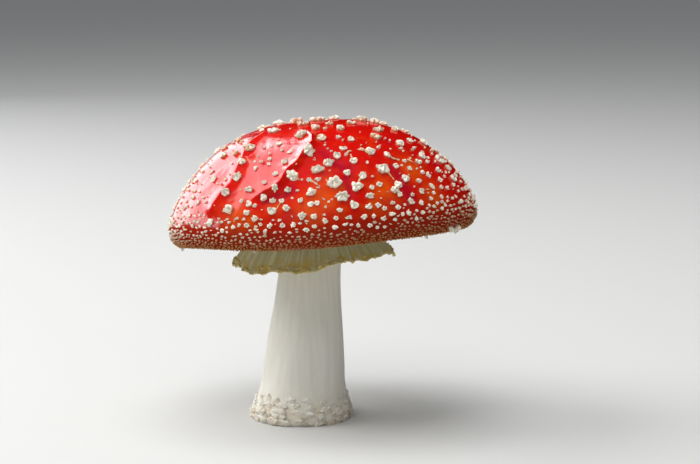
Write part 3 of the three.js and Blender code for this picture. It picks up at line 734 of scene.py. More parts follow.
def side_crumbs(warts, random):
    fresh = []
    others = spread_out(warts)
    for _ in range(SIDE_CRUMBS["count"]):
        azimuth = random() * TURN
        part = 1 - (1 - SIDE_CRUMBS["highest"]) * random() ** 1.3
        way = WIDEST_WAY * part
        width = SIDE_CRUMBS["most"] - (SIDE_CRUMBS["most"] - SIDE_CRUMBS["least"]) * part * random()
        wart = fine_wart(way, azimuth, width, width * (0.65 + 0.35 * random()), random() * TURN)
        x, y, _ = wart["place"]
        hidden = y > 0 or abs(x) > SIDE_CRUMBS["front"]
        if hidden and free_of(others, wart["place"], width / 2 + SIDE_ROOM):
            fresh.append(wart)
            others = (np.vstack([others[0], wart["place"]]), np.append(others[1], width))
    return fresh


def margin_grains(warts, random):
    """Rows of grains up from the lip, which grow and part as they rise: the fine and the coarse."""
    fine = []
    coarse = []
    others = spread_out(warts)
    size = GRAIN_ROWS["first"]
    way = SKIN_LENGTH - size / 2
    while way > SKIN_LENGTH - GRAIN_ROWS["height"]:
        above = SKIN_LENGTH - way
        radius = float(np.interp(way, OUTLINE_WAY, OUTLINE_RADIUS))
        spacing = GRAIN_SPACING[0] + GRAIN_SPACING[1] * (above / GRAIN_ROWS["height"])
        count = round(TURN * radius / (spacing * size))
        for index in range(count):
            azimuth = (index + 0.6 * random()) * TURN / count
            width = size * (0.8 + 0.55 * random())
            depth = width * (0.45 + 0.3 * random())
            place = way + 0.7 * size * (random() - 0.5)
            grain = fine_wart(place, azimuth, width, depth, 0.6 * random() - 0.3)
            pale_from = PALE_FROM + PALE_TILT * math.cos(azimuth)
            # Tan: partly the grain's own colour, partly painted shade near the lip.
            grain["tan"] = float(1 - smoothstep(TAN_BELOW, pale_from, above))
            if free_of(others, grain["place"], width * 0.45):
                (fine if size < GRAIN_ROWS["coarse"] else coarse).append(grain)
        way -= size
        size *= GRAIN_ROWS["growth"]
    return fine, coarse


# Rings of a crumb from its peak outwards and down: how far out, and how much of the top's height
# there is left. The last lies on the skin.
LARGE_RINGS = (
    (0.22, 1), (0.45, 1), (0.68, 1), (0.88, 1), (1.0, 0.94), (1.04, 0.55), (1.0, 0.2), (0.95, 0),
)
MEDIUM_RINGS = ((0.4, 1), (0.8, 1), (1.0, 0.9), (1.03, 0.4), (0.95, 0))
SMALL_RINGS = ((0.5, 1), (0.9, 1), (1.0, 0.5), (0.95, 0))
GRAIN_RINGS = ((0.75, 1), (1.0, 0))
FARTHEST = 59.4  # no crumb stands out farther to the front or back


def chunk(generator, rings, sides):
    """A ragged crumb one across and one high, and how sunken each of its points is.

    Ridges run from an off-centre peak down to the raised corners of a ragged outline, and the
    sides drop steeply from its edge.
    """
    uniform = generator.uniform
    corners = int(generator.integers(3, 7))
    count = 2 * corners
    spin = uniform(0, TURN)
    at = (np.arange(count) + uniform(-0.35, 0.35, count)) * math.pi / corners + spin
    is_corner = np.arange(count) % 2 == 0
    reach = np.where(is_corner, uniform(0.7, 1.06, count), 0)
    between = 0.5 * (np.roll(reach, 1) + np.roll(reach, -1)) * uniform(0.6, 0.95, count)
    reach = np.where(is_corner, reach, between)
    edge = np.where(is_corner, uniform(0.4, 0.85, count), uniform(0.15, 0.45, count))
    knots = np.linspace(0, count, sides, endpoint=False)  # so that points lie on each ridge
    nearest = np.round(knots)
    knots = np.where(np.abs(knots - nearest) < 0.5 * count / sides, nearest, knots)
    turn = np.interp(knots, np.arange(count + 1), np.append(at, at[0] + TURN))
    outline, ridge, lip = (
        np.interp(turn, at, values, period=TURN) for values in (reach, is_corner, edge)
    )
    pit = uniform(0.2, 0.5) if uniform() < 0.5 else 0.0
    lean = uniform(-0.3, 0.3, 2)
    points = [[*lean, 1 - pit, pit]]
    for out, keep in rings:
        part = min(out, 1)
        gully = (1 - ridge) * math.sin(math.pi * part)
        sunken = pit * max(1 - part / 0.55, 0)
        top = 1 - (1 - lip) * part - 0.2 * gully - sunken
        x = outline * out * np.cos(turn) + lean[0] * (1 - part)
        y = outline * out * np.sin(turn) + lean[1] * (1 - part)
        points.extend(np.stack([x, y, top * keep, 0.3 * gully + sunken], -1))
    return np.array(points)


def chunks(generator, count, rings, sides):
    drawn = np.stack([chunk(generator, rings, sides) for _ in range(count)])
    return drawn[..., :3], drawn[..., 3]


def sized(shapes, width, depth, height):
    return shapes * np.stack([width, depth, height], -1)[:, None, :]


def roughened(shapes, amount, grain, apart, seed, octaves):
    """Crumbs made a little uneven, each in its own way."""
    places = shapes * grain + np.arange(len(shapes))[:, None, None] * apart
    return shapes * (1 + amount * fractal(places, 1.0, seed, octaves)[..., None])


def crumb_mesh(shapes, place, out, root, sides, ring_count):
    """Points and faces of crumbs set on their places, each closed by a foot sunk by root."""
    count = len(shapes)
    around = unit(np.stack([-place[:, 1], place[:, 0], np.zeros(count)], -1))
    up_slope = unit(np.cross(out, around))
    around = np.cross(up_slope, out)
    axes = np.stack([around, up_slope, out], 1)
    points = place[:, None, :] + np.einsum("npk,nkj->npj", shapes, axes)
    foot = points[:, -sides:, :] - out[:, None, :] * root
    points = np.concatenate([points, foot, foot.mean(1, keepdims=True)], 1)
    size = points.shape[1]
    ring = np.arange(sides) + 1
    sheets = (
        grid_faces(ring_count + 1, sides)[:, ::-1] + 1,
        fan(ring, 0),
        fan(ring + ring_count * sides, size - 1)[:, ::-1],
    )
    offsets = (np.arange(count) * size)[:, None, None]
    return points, [(sheet[None] + offsets).reshape(-1, sheet.shape[1]) for sheet in sheets]


def add_crumbs(
    material, name, warts, rings, sides, seed, height, root, turned=False, smooth=False
):
    """One mesh of crumbs grown out of the cap's skin, height being a base and a share of width."""
    generator = np.random.default_rng(seed)
    count = len(warts)
    way, azimuth, width, depth, twist = (
        np.array([wart[key] for wart in warts])
        for key in ("way", "azimuth", "width", "depth", "twist")
    )
    shapes, sunken = chunks(generator, count, rings, sides)
    shapes = roughened(shapes, 0.05, 2.4, 7.3, seed, 2)
    tall = (height[0] + height[1] * width) * generator.uniform(0.75, 1.2, count)
    shapes = sized(shapes, width / 2, depth / 2, tall)
    if turned:
        (x, y), cos, sin = shapes.T[:2], np.cos(twist), np.sin(twist)
        shapes = np.stack([x * cos - y * sin, x * sin + y * cos, shapes.T[2]]).T
    points, faces = crumb_mesh(shapes, *skin_spots(way, azimuth), root, sides, len(rings))
    size = points.shape[1]
    foot = np.zeros((count, sides + 1))
    attributes = {
        # How sunken each point is, which darkens its colour as painted shade.
        "sunken": np.concatenate([sunken, foot], 1),
        "tone": np.repeat(generator.uniform(0, 1, count), size),
        "level": np.concatenate([shapes[..., 2] / tall[:, None], foot], 1),
    }
    for key in ("rust", "tan"):
        attributes[key] = np.repeat([float(wart.get(key, 0)) for wart in warts], size)
    placed = into_place(points.reshape(-1, 3))
    placed[:, 1] = np.clip(placed[:, 1], -FARTHEST, FARTHEST)
    add_piece(name, placed, faces, "cap", material, attributes, smooth)


def satellites(warts, random):
    """Smaller lumps grown into the sides of the larger warts, which make them ragged."""
    lumps = []
    for wart in warts:
        for _ in range(2 if wart["width"] > 4 else 1):
            heading = random() * TURN
            away = wart["width"] * (0.24 + 0.14 * random())
            radius = max(float(np.interp(wart["way"], OUTLINE_WAY, OUTLINE_RADIUS)), 2)
            width = wart["width"] * (0.3 + 0.25 * random())
            way = wart["way"] + away * math.sin(heading) * wart["depth"] / wart["width"]
            azimuth = wart["azimuth"] + away * math.cos(heading) / radius
            lump = fine_wart(abs(way), azimuth, width, width * (0.6 + 0.4 * random()))
            lumps.append(dict(lump, rust=wart.get("rust", 0)))
    return lumps


def rim_shreds(random):
    shreds = []
    for degrees, width, above in RIM_SHREDS:
        way = SKIN_LENGTH - above - 0.5 * random()
        shreds.append(dict(fine_wart(way, math.radians(degrees), width, width * 0.9), tan=0.05))
    return shreds


STRAND_STEPS = 15
STRAND_SIDES = 6
STRAND_FLATNESS = 0.6
STRAND_RADIUS = 0.66
STRAND_BOW = 0.9


def make_strands(material):
    """Thin ragged strands that the stretching veil has left lying between warts."""
    vertices = []
    faces = []
    part = np.linspace(0, 1, STRAND_STEPS)
    turn = round_turn(STRAND_SIDES)[..., None]
    for index, (start, end, thickness) in enumerate(STRANDS):
        knots = np.stack([7 * part, 0 * part, 5.0 * index + 0 * part], -1)
        bow = STRAND_BOW * math.sin(3.7 * index) + 0.35 * fractal(knots, 1.6, 72, 2)
        run = np.linspace(start, end, STRAND_STEPS)
        run[:, 1] += bow * np.sin(math.pi * part)
        places = np.array([front_place(right, up) for right, up in run])
        place, out = skin_spots(way_of(places[:, 0]), places[:, 1])
        along = unit(np.gradient(place, axis=0))
        across = unit(np.cross(along, out))
        ragged = np.maximum(1 + 0.95 * fractal(knots, 1.0, 71, 2), 0.25)
        radius = STRAND_RADIUS * thickness * (1 - 0.5 * part) * ragged
        middle = place + out * (0.05 + 0.2 * np.sin(math.pi * part))[:, None]
        ring = np.cos(turn) * across[:, None] + STRAND_FLATNESS * np.sin(turn) * out[:, None]
        vertices.append((middle[:, None] + radius[:, None, None] * ring).reshape(-1, 3))
        first = np.arange(STRAND_SIDES)[None] + index * STRAND_STEPS * STRAND_SIDES
        last = first + (STRAND_STEPS - 1) * STRAND_SIDES
        faces += [grid_faces(STRAND_STEPS, STRAND_SIDES) + first[0, 0], first[:, ::-1], last]
    points = into_place(np.concatenate(vertices))
    add_piece("veil_strands", points, faces, "cap", material, smooth=False)


def make_warts(material):
    large, small, random = model_warts()
    # Skyline warts get amber-brown low on their sides: partly their own brown, partly painted
    # backlight.
    for wart in large:
        x, _, z = wart["place"]
        wart["rust"] = sum(rust for left, right, low, rust in BROWN_AND_BACKLIT if left < x < right and z > low)
    crumbs = []
    for right, up, width, high in FRONT_CRUMBS:
        way, azimuth = front_way(right, up)
        crumbs.append(fine_wart(way, azimuth, width, depth_of(high, width, way, azimuth)))
    everything = large + small + crumbs
    start = len(everything)
    scatter(everything, BACK_CRUMBS, random)
    everything += side_crumbs(everything, random)
    medium = small + crumbs + everything[start:]
    fine = scatter_fine(everything, random)
    grains, coarse = margin_grains(everything, random)
    lumps, medium_lumps = satellites(large, random), satellites(medium, random)
    # Each piece's crumbs, its rings and sides of each, its seed, heights, and how far it is sunk.
    kinds = (
        ("warts_large", large, LARGE_RINGS, 36, 1, (0.5, 0.3), 0.6, {}),
        ("wart_lumps", lumps, MEDIUM_RINGS, 16, 2, (0.4, 0.5), 0.6, {}),
        ("warts_medium", medium, MEDIUM_RINGS, 18, 3, (0.3, 0.33), 0.6, {}),
        ("wart_crumbs", medium_lumps, SMALL_RINGS, 10, 4, (0.3, 0.45), 0.6, {}),
        ("warts_fine", fine, SMALL_RINGS, 12, 5, (0.3, 0.33), 0.4, {"turned": True}),
        ("wart_grains", grains, GRAIN_RINGS, 6, 6, (0.15, 0.3), 0.25, {"smooth": True}),
        ("margin_crumbs", coarse, SMALL_RINGS, 9, 8, (0.15, 0.38), 0.3, {"turned": True}),
        ("rim_shreds", rim_shreds(random), MEDIUM_RINGS, 18, 7, (0.8, 0.55), 0.6, {}),
    )
    for *kind, settings in kinds:
        add_crumbs(material, *kind, **settings)
    make_strands(material)


# ---- the stem ----


def spline(outline, at):
    """A smooth curve through the outline's points."""
    places, values = np.array(outline, dtype=float).T
    slopes = np.gradient(values, places)
    index = np.clip(np.searchsorted(places, at, side="right") - 1, 0, len(places) - 2)
    span = places[index + 1] - places[index]
    part = np.clip((at - places[index]) / span, 0, 1)
    start, end = values[index], values[index + 1]
    lead, trail = slopes[index] * span, slopes[index + 1] * span
    square, cube = part**2, part**3
    return (
        (2 * cube - 3 * square + 1) * start
        + (cube - 2 * square + part) * lead
        + (3 * square - 2 * cube) * end
        + (cube - square) * trail
    )


def stem_axis(height):
    bent = np.maximum(height - BEND_START, 0) / (STEM_TOP - BEND_START)
    return STEM_LEAN * height + STEM_BEND * bent * bent


def stem_place(out, height, azimuth):
    """A point of the stem, which leans and bends and is cut to the cap's slant at its top."""
    x = out * np.cos(azimuth)
    y = out * np.sin(azimuth)
    level = -x * math.tan(CAP_TILT[1]) + y * math.tan(CAP_TILT[0])
    topped = smoothstep(BEND_START, STEM_TOP, height)
    return np.stack([x + stem_axis(height), y, height + topped * level], -1)


STEM_COLUMNS = 240
STEM_ROWS = 140
FIBRE_DEPTH = 0.014
FIBRE_WIDTH = 1.1
LUMP_HEIGHT = 0.2
LUMP_WIDTH = 9.0


def stem_radius(height, azimuth):
    around = cylindrical(14, azimuth, height * 0.07)
    fibres = FIBRE_DEPTH * fractal(around, FIBRE_WIDTH, 21, 3)
    lumps = LUMP_HEIGHT * noise(around * np.array([1, 1, 12]), LUMP_WIDTH, 23)
    return spline(STEM_OUTLINE, height) + waved(STEM_DENTS, azimuth, height) + fibres + lumps


def make_stem(material):
    azimuth = round_turn(STEM_COLUMNS)
    height = np.linspace(0, STEM_TOP, STEM_ROWS)[:, None]
    sides = stem_place(stem_radius(height, azimuth), height, azimuth)
    foot = sides[:1].mean((0, 1))[None] * np.array([1, 1, 0])
    head = stem_place(np.array([0.0]), np.array([STEM_TOP]), np.array([0.0]))
    points, faces = closed_rings(sides, foot, head)
    faces = [part[:, ::-1] for part in faces]  # its rings run up
    add_piece("stem_body", points, faces, "stem", material)


# Each ring's height, how many scales it has, and how wide they are.
VOLVA_ROWS = ((1.2, 22, 6.0), (4.2, 21, 6.2), (7.0, 20, 5.4), (9.6, 18, 3.8))
VOLVA_CRUMBS = 110
CRUMBS_UP_TO = 11.5
VOLVA_SIDES = 20


def make_volva(material):
    """Cottony scales in uneven rings round the foot, each thickest at its raised upper edge."""
    generator = np.random.default_rng(43)
    uniform = generator.uniform
    rows = []
    for base, count, width in VOLVA_ROWS:
        azimuth = (np.arange(count) + uniform(-0.3, 0.3, count) + uniform()) * TURN / count
        height = base + 0.7 * waved(VOLVA_WAVES, azimuth) + uniform(-0.5, 0.5, count)
        wide = width * uniform(0.8, 1.3, count)
        rows.append((azimuth, height, wide, wide * uniform(0.5, 0.68, count)))
    azimuth = uniform(0, TURN, VOLVA_CRUMBS)
    height = CRUMBS_UP_TO * uniform(0, 1, VOLVA_CRUMBS) + 0.6 * waved(VOLVA_WAVES, azimuth)
    wide = uniform(0.7, 2.2, VOLVA_CRUMBS)
    rows.append((azimuth, height, wide, wide * uniform(0.5, 0.9, VOLVA_CRUMBS)))
    azimuth, height, wide, deep = (np.concatenate(parts) for parts in zip(*rows))
    height = np.maximum(height, 0.4)
    shapes, _ = chunks(generator, len(azimuth), MEDIUM_RINGS, VOLVA_SIDES)
    shapes = roughened(shapes, 0.06, 2.0, 5.1, 44, 3)
    tall = (0.3 + 0.15 * wide) * uniform(0.7, 1.15, len(azimuth))
    shapes = sized(shapes, wide / 2, deep / 2, tall)
    shapes[..., 2] *= 1 + 0.7 * shapes[..., 1] / deep[:, None]
    place = stem_place(stem_radius(height, azimuth) - 0.1, height, azimuth)
    slope = spline(STEM_OUTLINE, height + 0.5) - spline(STEM_OUTLINE, np.maximum(height - 0.5, 0))
    out = unit(cylindrical(1, azimuth, -slope))
    points, faces = crumb_mesh(shapes, place, out, 0.6, VOLVA_SIDES, len(MEDIUM_RINGS))
    points = points.reshape(-1, 3)
    points[:, 2] = np.maximum(points[:, 2], 0)
    add_piece("volva_scales", points, faces, "stem", material)


# ---- the ring ----

RING_COLUMNS = 480
RING_ROWS = 36
RING_THINNING = 0.45  # the share of its thickness that it loses by its edge
ROOT_PART = 0.25  # the part of its width over which it thickens to its root
PLEAT_DEPTH = 0.28
THREAD_DEPTH = 0.1
TEAR_DEPTH = 0.5
FLOCK_COUNT = 420
FLOCK_SIDES = 9


def ring_surface(part, azimuth, under):
    """Points of the skirt from its root to its free edge, on its upper face or under it."""
    inner = spline(STEM_OUTLINE, np.array(RING_HEIGHT)) + GAP
    radius = inner + (RING_RADIUS - inner) * part
    height = RING_HEIGHT - (RING_HEIGHT - RING_EDGE_HEIGHT) * part**RING_DROOP
    thickness = RING_THICKNESS * (1 - RING_THINNING * part)
    rooted = np.maximum(1 - part / ROOT_PART, 0)
    thickness = thickness + (RING_ROOT - RING_THICKNESS) * rooted**2
    step = RING_STEP * np.tanh(RING_STEP_SLOPE * np.cos(azimuth)) * part * part
    lobes = waved(RING_LOBES, azimuth) * part * part
    out = radius + waved(RING_SWELL, azimuth) * part * part
    around = cylindrical(28, azimuth, part * 4)
    pleats = PLEAT_DEPTH * np.sin(RING_PLEATS * azimuth + 2 * noise(around, 9.0, 61)) * part
    threads = cylindrical(60, azimuth, part * 2)
    grooves = THREAD_DEPTH * fractal(threads, 2.4, 63, 2) * smoothstep(0.02, 0.2, part)
    torn = TEAR_DEPTH * fractal(around, 2.2, 67, 3) * smoothstep(0.9, 1, part)
    reach = out + torn - 0.5 * thickness * under * (part > 0)
    lift = pleats + grooves + step + lobes
    axis = np.array([stem_axis(RING_HEIGHT), 0, 0])
    return cylindrical(reach, azimuth, height + lift - thickness * under) + axis


def make_ring(material):
    azimuth = round_turn(RING_COLUMNS)
    part = np.linspace(0, 1, RING_ROWS)[:, None]
    rings = np.concatenate([ring_surface(part, azimuth, 0), ring_surface(part[::-1], azimuth, 1)])
    rows = len(rings)
    points = rings.reshape(-1, 3)
    faces = grid_faces(rows + 1, RING_COLUMNS)[:, ::-1] % len(points)
    edge = np.broadcast_to(np.concatenate([part, part[::-1]]), (rows, RING_COLUMNS))
    # Which of the skirt's radial threads a place is on, the same at both ends of the turn.
    thread = fractal(cylindrical(70, azimuth[0], 0), 2.2, 68, 3)
    attributes = {"edge": edge, "thread": np.broadcast_to(thread, edge.shape)}
    add_piece("ring_skirt", points, [faces], "ring", material, attributes)


def make_ring_flocks(material):
    """Yellowish crumbs of veil along the skirt's free edge."""
    generator = np.random.default_rng(8)
    azimuth = generator.uniform(0, TURN, FLOCK_COUNT)
    part = 1 - 0.07 * generator.uniform(0, 1, FLOCK_COUNT) ** 2
    place = ring_surface(part, azimuth, 0.3)
    out = unit(cylindrical(1, azimuth, 0.4))
    shapes, _ = chunks(generator, FLOCK_COUNT, SMALL_RINGS, FLOCK_SIDES)
    width = 0.6 + 1.7 * generator.uniform(0, 1, FLOCK_COUNT) ** 2
    shapes = sized(shapes, width / 2, width * 0.4, 0.2 + 0.35 * width)
    points, faces = crumb_mesh(shapes, place, out, 0.3, FLOCK_SIDES, len(SMALL_RINGS))
    add_piece("ring_flocks", points.reshape(-1, 3), faces, "ring", material)


# ---- the gills ----

LONG_GILLS = 60
GILL_THICKNESS = 0.42
GILL_ROWS = 6
GILL_COLUMNS = 18
GILL_ROUNDING = 0.16  # the part of its length over which a gill deepens
GILL_STARTS = (None, 40.0, 27.0, 42.0)  # a long gill from the stem, then shorter ones
GILL_SWAYS = ((0.35, 5, 1), (0.25, 2.1, 3))  # how far, over what length, and from where
STEM_MEETING = 22.0  # the height over the rim plane where the gills keep clear of the stem


def gill_edge(radius):
    return GILL_EDGE_TOP - GILL_EDGE_DROP * (radius / GILL_REACH) ** 2


def gill_blade(start, azimuth, seed):
    """A thin blade from the flesh down to its free edge, rounded where it begins."""
    along = np.linspace(0, 1, GILL_COLUMNS)[None, :]
    drop = np.linspace(0, 1, GILL_ROWS)[:, None]
    radius = start + (GILL_REACH - GAP - start) * along
    top = flesh_height(radius) - GAP - 0.3
    shape = smoothstep(0, GILL_ROUNDING, along) ** 0.5
    bottom = top - (top - gill_edge(radius)) * shape
    height = top + (bottom - top) * drop
    sway = sum(
        far * np.sin(radius / length + phase * seed) * drop for far, length, phase in GILL_SWAYS
    )
    half = GILL_THICKNESS / 2 * (1.25 - 0.75 * drop)
    sheets = [
        cap_shape(radius + 0 * drop, height, azimuth + (sway + side * half) / radius)
        for side in (1, -1)
    ]
    sheet = grid_faces(GILL_ROWS, GILL_COLUMNS, closed=False)
    size = GILL_ROWS * GILL_COLUMNS
    grid = np.arange(size).reshape(GILL_ROWS, GILL_COLUMNS)
    edge = np.concatenate([grid[0], grid[1:, -1], grid[-1, -2::-1], grid[-2:0:-1, 0]])
    after = np.roll(edge, -1)
    rim = np.stack([edge, after, after + size, edge + size], -1)
    faces = np.concatenate([sheet[:, ::-1], sheet + size, rim])
    return np.concatenate(sheets).reshape(-1, 3), faces


def clear_of_stem(azimuth):
    """How far from the cap's middle a gill has to start to stay free of the stem."""
    height = into_place(np.array([[0.0, 0.0, STEM_MEETING]]))[0, 2]
    centre = out_of_place(np.array([[stem_axis(height), 0.0, height]]))[0]
    room = float(spline(STEM_OUTLINE, np.array(height))) + STEM_CLEARANCE
    towards = centre[0] * math.cos(azimuth) + centre[1] * math.sin(azimuth)
    aside = centre[1] * math.cos(azimuth) - centre[0] * math.sin(azimuth)
    return towards + math.sqrt(room**2 - aside**2)


def make_gills(material):
    random = seeded(83)
    vertices = []
    faces = []
    count = LONG_GILLS * len(GILL_STARTS)
    for index in range(count):
        azimuth = (index + 0.3 * random()) * TURN / count
        start = GILL_STARTS[index % len(GILL_STARTS)]
        start = clear_of_stem(azimuth) if start is None else start + 4 * random()
        points, quads = gill_blade(start, azimuth, random() * TURN)
        vertices.append(points)
        faces.append(quads + index * len(points))
    points = into_place(np.concatenate(vertices))
    add_piece("gill_blades", points, faces, "gills", material)


# ---- materials ----


class Look:
    """A material and the nodes that make it up."""

    def __init__(self, name):
        self.material = bpy.data.materials.new(name)
        self.material.use_nodes = True
        self.tree = self.material.node_tree

    @cached_property
    def place(self):
        return self.add("ShaderNodeTexCoord").outputs["Object"]

    def put(self, socket, value):
        """Joins a socket to another node's, or sets it to a plain value."""
        if isinstance(value, bpy.types.NodeSocket):
            self.tree.links.new(value, socket)
        else:
            socket.default_value = value

    def add(self, kind, inputs=None, **settings):
        node = self.tree.nodes.new(kind)
        for key, value in settings.items():
            setattr(node, key, value)
        for key, value in (inputs or {}).items():
            self.put(node.inputs[key], value)
        return node

    def attribute(self, name):
        return self.add("ShaderNodeAttribute", attribute_name=name).outputs["Fac"]

    def noise(self, scale, detail=3.0, roughness=0.55, stretch=None):
        place = self.place
        if stretch:
            place = self.add("ShaderNodeMapping", {"Vector": place, "Scale": stretch}).outputs[0]
        inputs = {"Vector": place, "Scale": scale, "Detail": detail, "Roughness": roughness}
        return self.add("ShaderNodeTexNoise", inputs).outputs["Fac"]

    def ramp(self, value, low, high):
        inputs = {"Value": value, "From Min": low, "From Max": high}
        return self.add("ShaderNodeMapRange", inputs, interpolation_type="SMOOTHSTEP").outputs[0]

    def spots(self, scale, low, high, detail=3.0, roughness=0.55):
        return self.ramp(self.noise(scale, detail, roughness), low, high)

    def times(self, first, second):
        return self.add("ShaderNodeMath", {0: first, 1: second}, operation="MULTIPLY").outputs[0]

    def blend(self, amount, first, second):
        inputs = {0: amount, 6: first, 7: second}
        for key, value in inputs.items():
            if isinstance(value, tuple):
                inputs[key] = (*value, 1.0)
        return self.add("ShaderNodeMix", inputs, data_type="RGBA").outputs[2]

    def stain(self, colour, mask, amount, tint):
        """A colour that is tinted by an amount where the mask is full."""
        return self.blend(self.times(mask, amount), colour, tint)

    def bump(self, height, distance, strength, normal=None):
        inputs = {"Height": height, "Distance": distance, "Strength": strength}
        if normal is not None:
            inputs["Normal"] = normal
        return self.add("ShaderNodeBump", inputs).outputs[0]

    def done(self, inputs):
        """Sets the shader, and gives the material."""
        for key, value in inputs.items():
            self.put(self.tree.nodes["Principled BSDF"].inputs[key], value)
        return self.material


SCARLET = (0.64, 0.005, 0.002)
DEEP_RED = (0.42, 0.006, 0.004)
ORANGE = (0.78, 0.085, 0.003)
CRIMSON = (0.44, 0.002, 0.020)
# The red darkened by painted shade at the lip.
SHADED_MARGIN_RED = (0.145, 0.021, 0.002)
FLESH_WHITE = (0.82, 0.78, 0.68)
VEIL_SHADE, VEIL_LIGHT = (0.78, 0.73, 0.59), (0.97, 0.95, 0.87)
VEIL_CREAM = (0.78, 0.71, 0.52)
# Painted shade in the crumbs' pits and gullies.
VEIL_PIT_SHADE = (0.34, 0.29, 0.17)
# Painted shade and a painted reflection of the red skin, low on the crumbs' sides.
VEIL_FOOT_SHADE_AND_RED_BOUNCE = (0.64, 0.34, 0.12)
# Partly the grains' own tan, partly painted shade at the lip.
VEIL_TAN_AND_SHADE = (0.45, 0.195, 0.052)
# Amber-brown on the skyline warts: partly their own brown, partly painted backlight.
BROWN_AND_BACKLIGHT = (0.60, 0.24, 0.05)
STEM_SHADE, STEM_LIGHT = (0.74, 0.715, 0.64), (0.80, 0.78, 0.71)
STEM_CLOUD = (0.70, 0.66, 0.56)
STEM_SOIL = (0.56, 0.43, 0.25)
# The skirt's own pale yellow, darkened and made olive by painted shade, in darker and paler
# threads.
RING_DARK_IN_PAINTED_SHADE, RING_PALE_IN_PAINTED_SHADE = (0.53, 0.47, 0.24), (0.69, 0.63, 0.38)
RING_OCHRE = (0.62, 0.42, 0.06)
FLOCK_SHADE, FLOCK_LIGHT = (0.55, 0.40, 0.11), (0.76, 0.64, 0.30)
GILL_SHADE, GILL_LIGHT = (0.80, 0.74, 0.60), (0.88, 0.85, 0.76)


def skin_material():
    look = Look("fly_agaric_skin")
    colour = look.stain(SCARLET, look.attribute("orange"), 0.9, ORANGE)
    colour = look.stain(colour, look.spots(55.0, 0.58, 0.75, 2.0), 0.35, CRIMSON)
    colour = look.stain(colour, look.spots(130.0, 0.55, 0.72), 0.35, ORANGE)
    colour = look.stain(colour, look.spots(190.0, 0.57, 0.7, 3.0, 0.65), 0.4, CRIMSON)
    # Painted sky reflection and painted shade in the creases: a darker, bluer crimson.
    colour = look.stain(colour, look.attribute("painted_crease_sheen"), 0.85, CRIMSON)
    # Painted shade: the red darkens down to the lip.
    colour = look.stain(colour, look.attribute("margin"), 0.9, SHADED_MARGIN_RED)
    mottled = look.spots(420.0, 0.35, 0.7)
    colour = look.stain(colour, mottled, 0.18, DEEP_RED)
    rough = look.add("ShaderNodeMapRange", {"Value": mottled, "To Min": 0.36, "To Max": 0.5})
    normal = look.bump(look.noise(190.0), 0.0005, 0.5)
    return look.done({
        "Base Color": look.blend(look.attribute("flesh"), colour, FLESH_WHITE),
        "Roughness": rough.outputs[0],
        "Specular IOR Level": 0.0,
        "Coat Weight": 0.75,
        "Coat Roughness": 0.16,
        "Coat IOR": 1.7,
        "Normal": look.bump(look.noise(900.0, 4.0, 0.6), 0.00012, 0.5, normal),
    })


def wart_material():
    look = Look("veil_crumb")
    level = look.attribute("level")
    colour = look.blend(look.spots(1500.0, 0.25, 0.7, 4.0, 0.65), VEIL_SHADE, VEIL_LIGHT)
    colour = look.stain(colour, look.attribute("tone"), 0.25, VEIL_CREAM)
    # Painted shade in the pits and in the gullies between the ridges.
    colour = look.stain(colour, look.ramp(look.attribute("sunken"), 0.05, 0.5), 0.75, VEIL_PIT_SHADE)
    # Painted shade and a painted red reflection from the skin, low on each crumb.
    colour = look.stain(colour, look.ramp(level, 0.42, 0.0), 0.7, VEIL_FOOT_SHADE_AND_RED_BOUNCE)
    # Tan near the lip: partly the grains' own colour, partly painted shade.
    colour = look.stain(colour, look.attribute("tan"), 0.95, VEIL_TAN_AND_SHADE)
    # Amber-brown low on the skyline warts: partly their own brown, partly painted backlight.
    brown_and_backlit_mask = look.times(look.attribute("rust"), look.spots(420.0, 0.42, 0.6, 2.0))
    return look.done({
        "Base Color": look.blend(look.times(brown_and_backlit_mask, look.ramp(level, 0.95, 0.4)), colour, BROWN_AND_BACKLIGHT),
        "Roughness": 0.85,
        "Specular IOR Level": 0.25,
        "Normal": look.bump(look.noise(2600.0, 4.0, 0.7), 0.00015, 0.6),
    })


def stem_material():
    look = Look("stem_flesh")
    fibre = look.noise(620.0, 3.0, 0.6, stretch=(1.0, 1.0, 0.045))
    colour = look.blend(look.ramp(fibre, 0.3, 0.7), STEM_SHADE, STEM_LIGHT)
    colour = look.stain(colour, look.spots(60.0, 0.4, 0.75), 0.3, STEM_CLOUD)
    height = look.add("ShaderNodeSeparateXYZ", {"Vector": look.place}).outputs["Z"]
    foot = look.times(look.ramp(height, 0.014, 0.0), look.spots(240.0, 0.35, 0.65, 4.0))
    return look.done({
        "Base Color": look.stain(colour, foot, 0.55, STEM_SOIL),
        "Roughness": 0.62,
        "Specular IOR Level": 0.35,
        "Subsurface Weight": 0.12,
        "Subsurface Radius": (0.004, 0.003, 0.002),
        "Normal": look.bump(fibre, 0.0002, 0.15),
    })


def ring_material():
    look = Look("ring_veil")
    thread = look.ramp(look.attribute("thread"), -0.8, 0.8)
    blotch = look.spots(260.0, 0.42, 0.62, 4.0, 0.65)
    edge = look.times(look.ramp(look.attribute("edge"), 0.76, 0.97), blotch)
    # Painted shade: the whole skirt is darker than its own pale yellow.
    colour = look.blend(thread, RING_DARK_IN_PAINTED_SHADE, RING_PALE_IN_PAINTED_SHADE)
    return look.done({
        "Base Color": look.stain(colour, edge, 0.95, RING_OCHRE),
        "Roughness": 0.7,
        "Subsurface Weight": 0.15,
        "Subsurface Radius": (0.002, 0.002, 0.001),
        "Normal": look.bump(thread, 0.0003, 0.5),
    })


def flock_material():
    look = Look("ring_flocks")
    colour = look.blend(look.spots(1400.0, 0.3, 0.7), FLOCK_SHADE, FLOCK_LIGHT)
    return look.done({"Base Color": colour, "Roughness": 0.85})


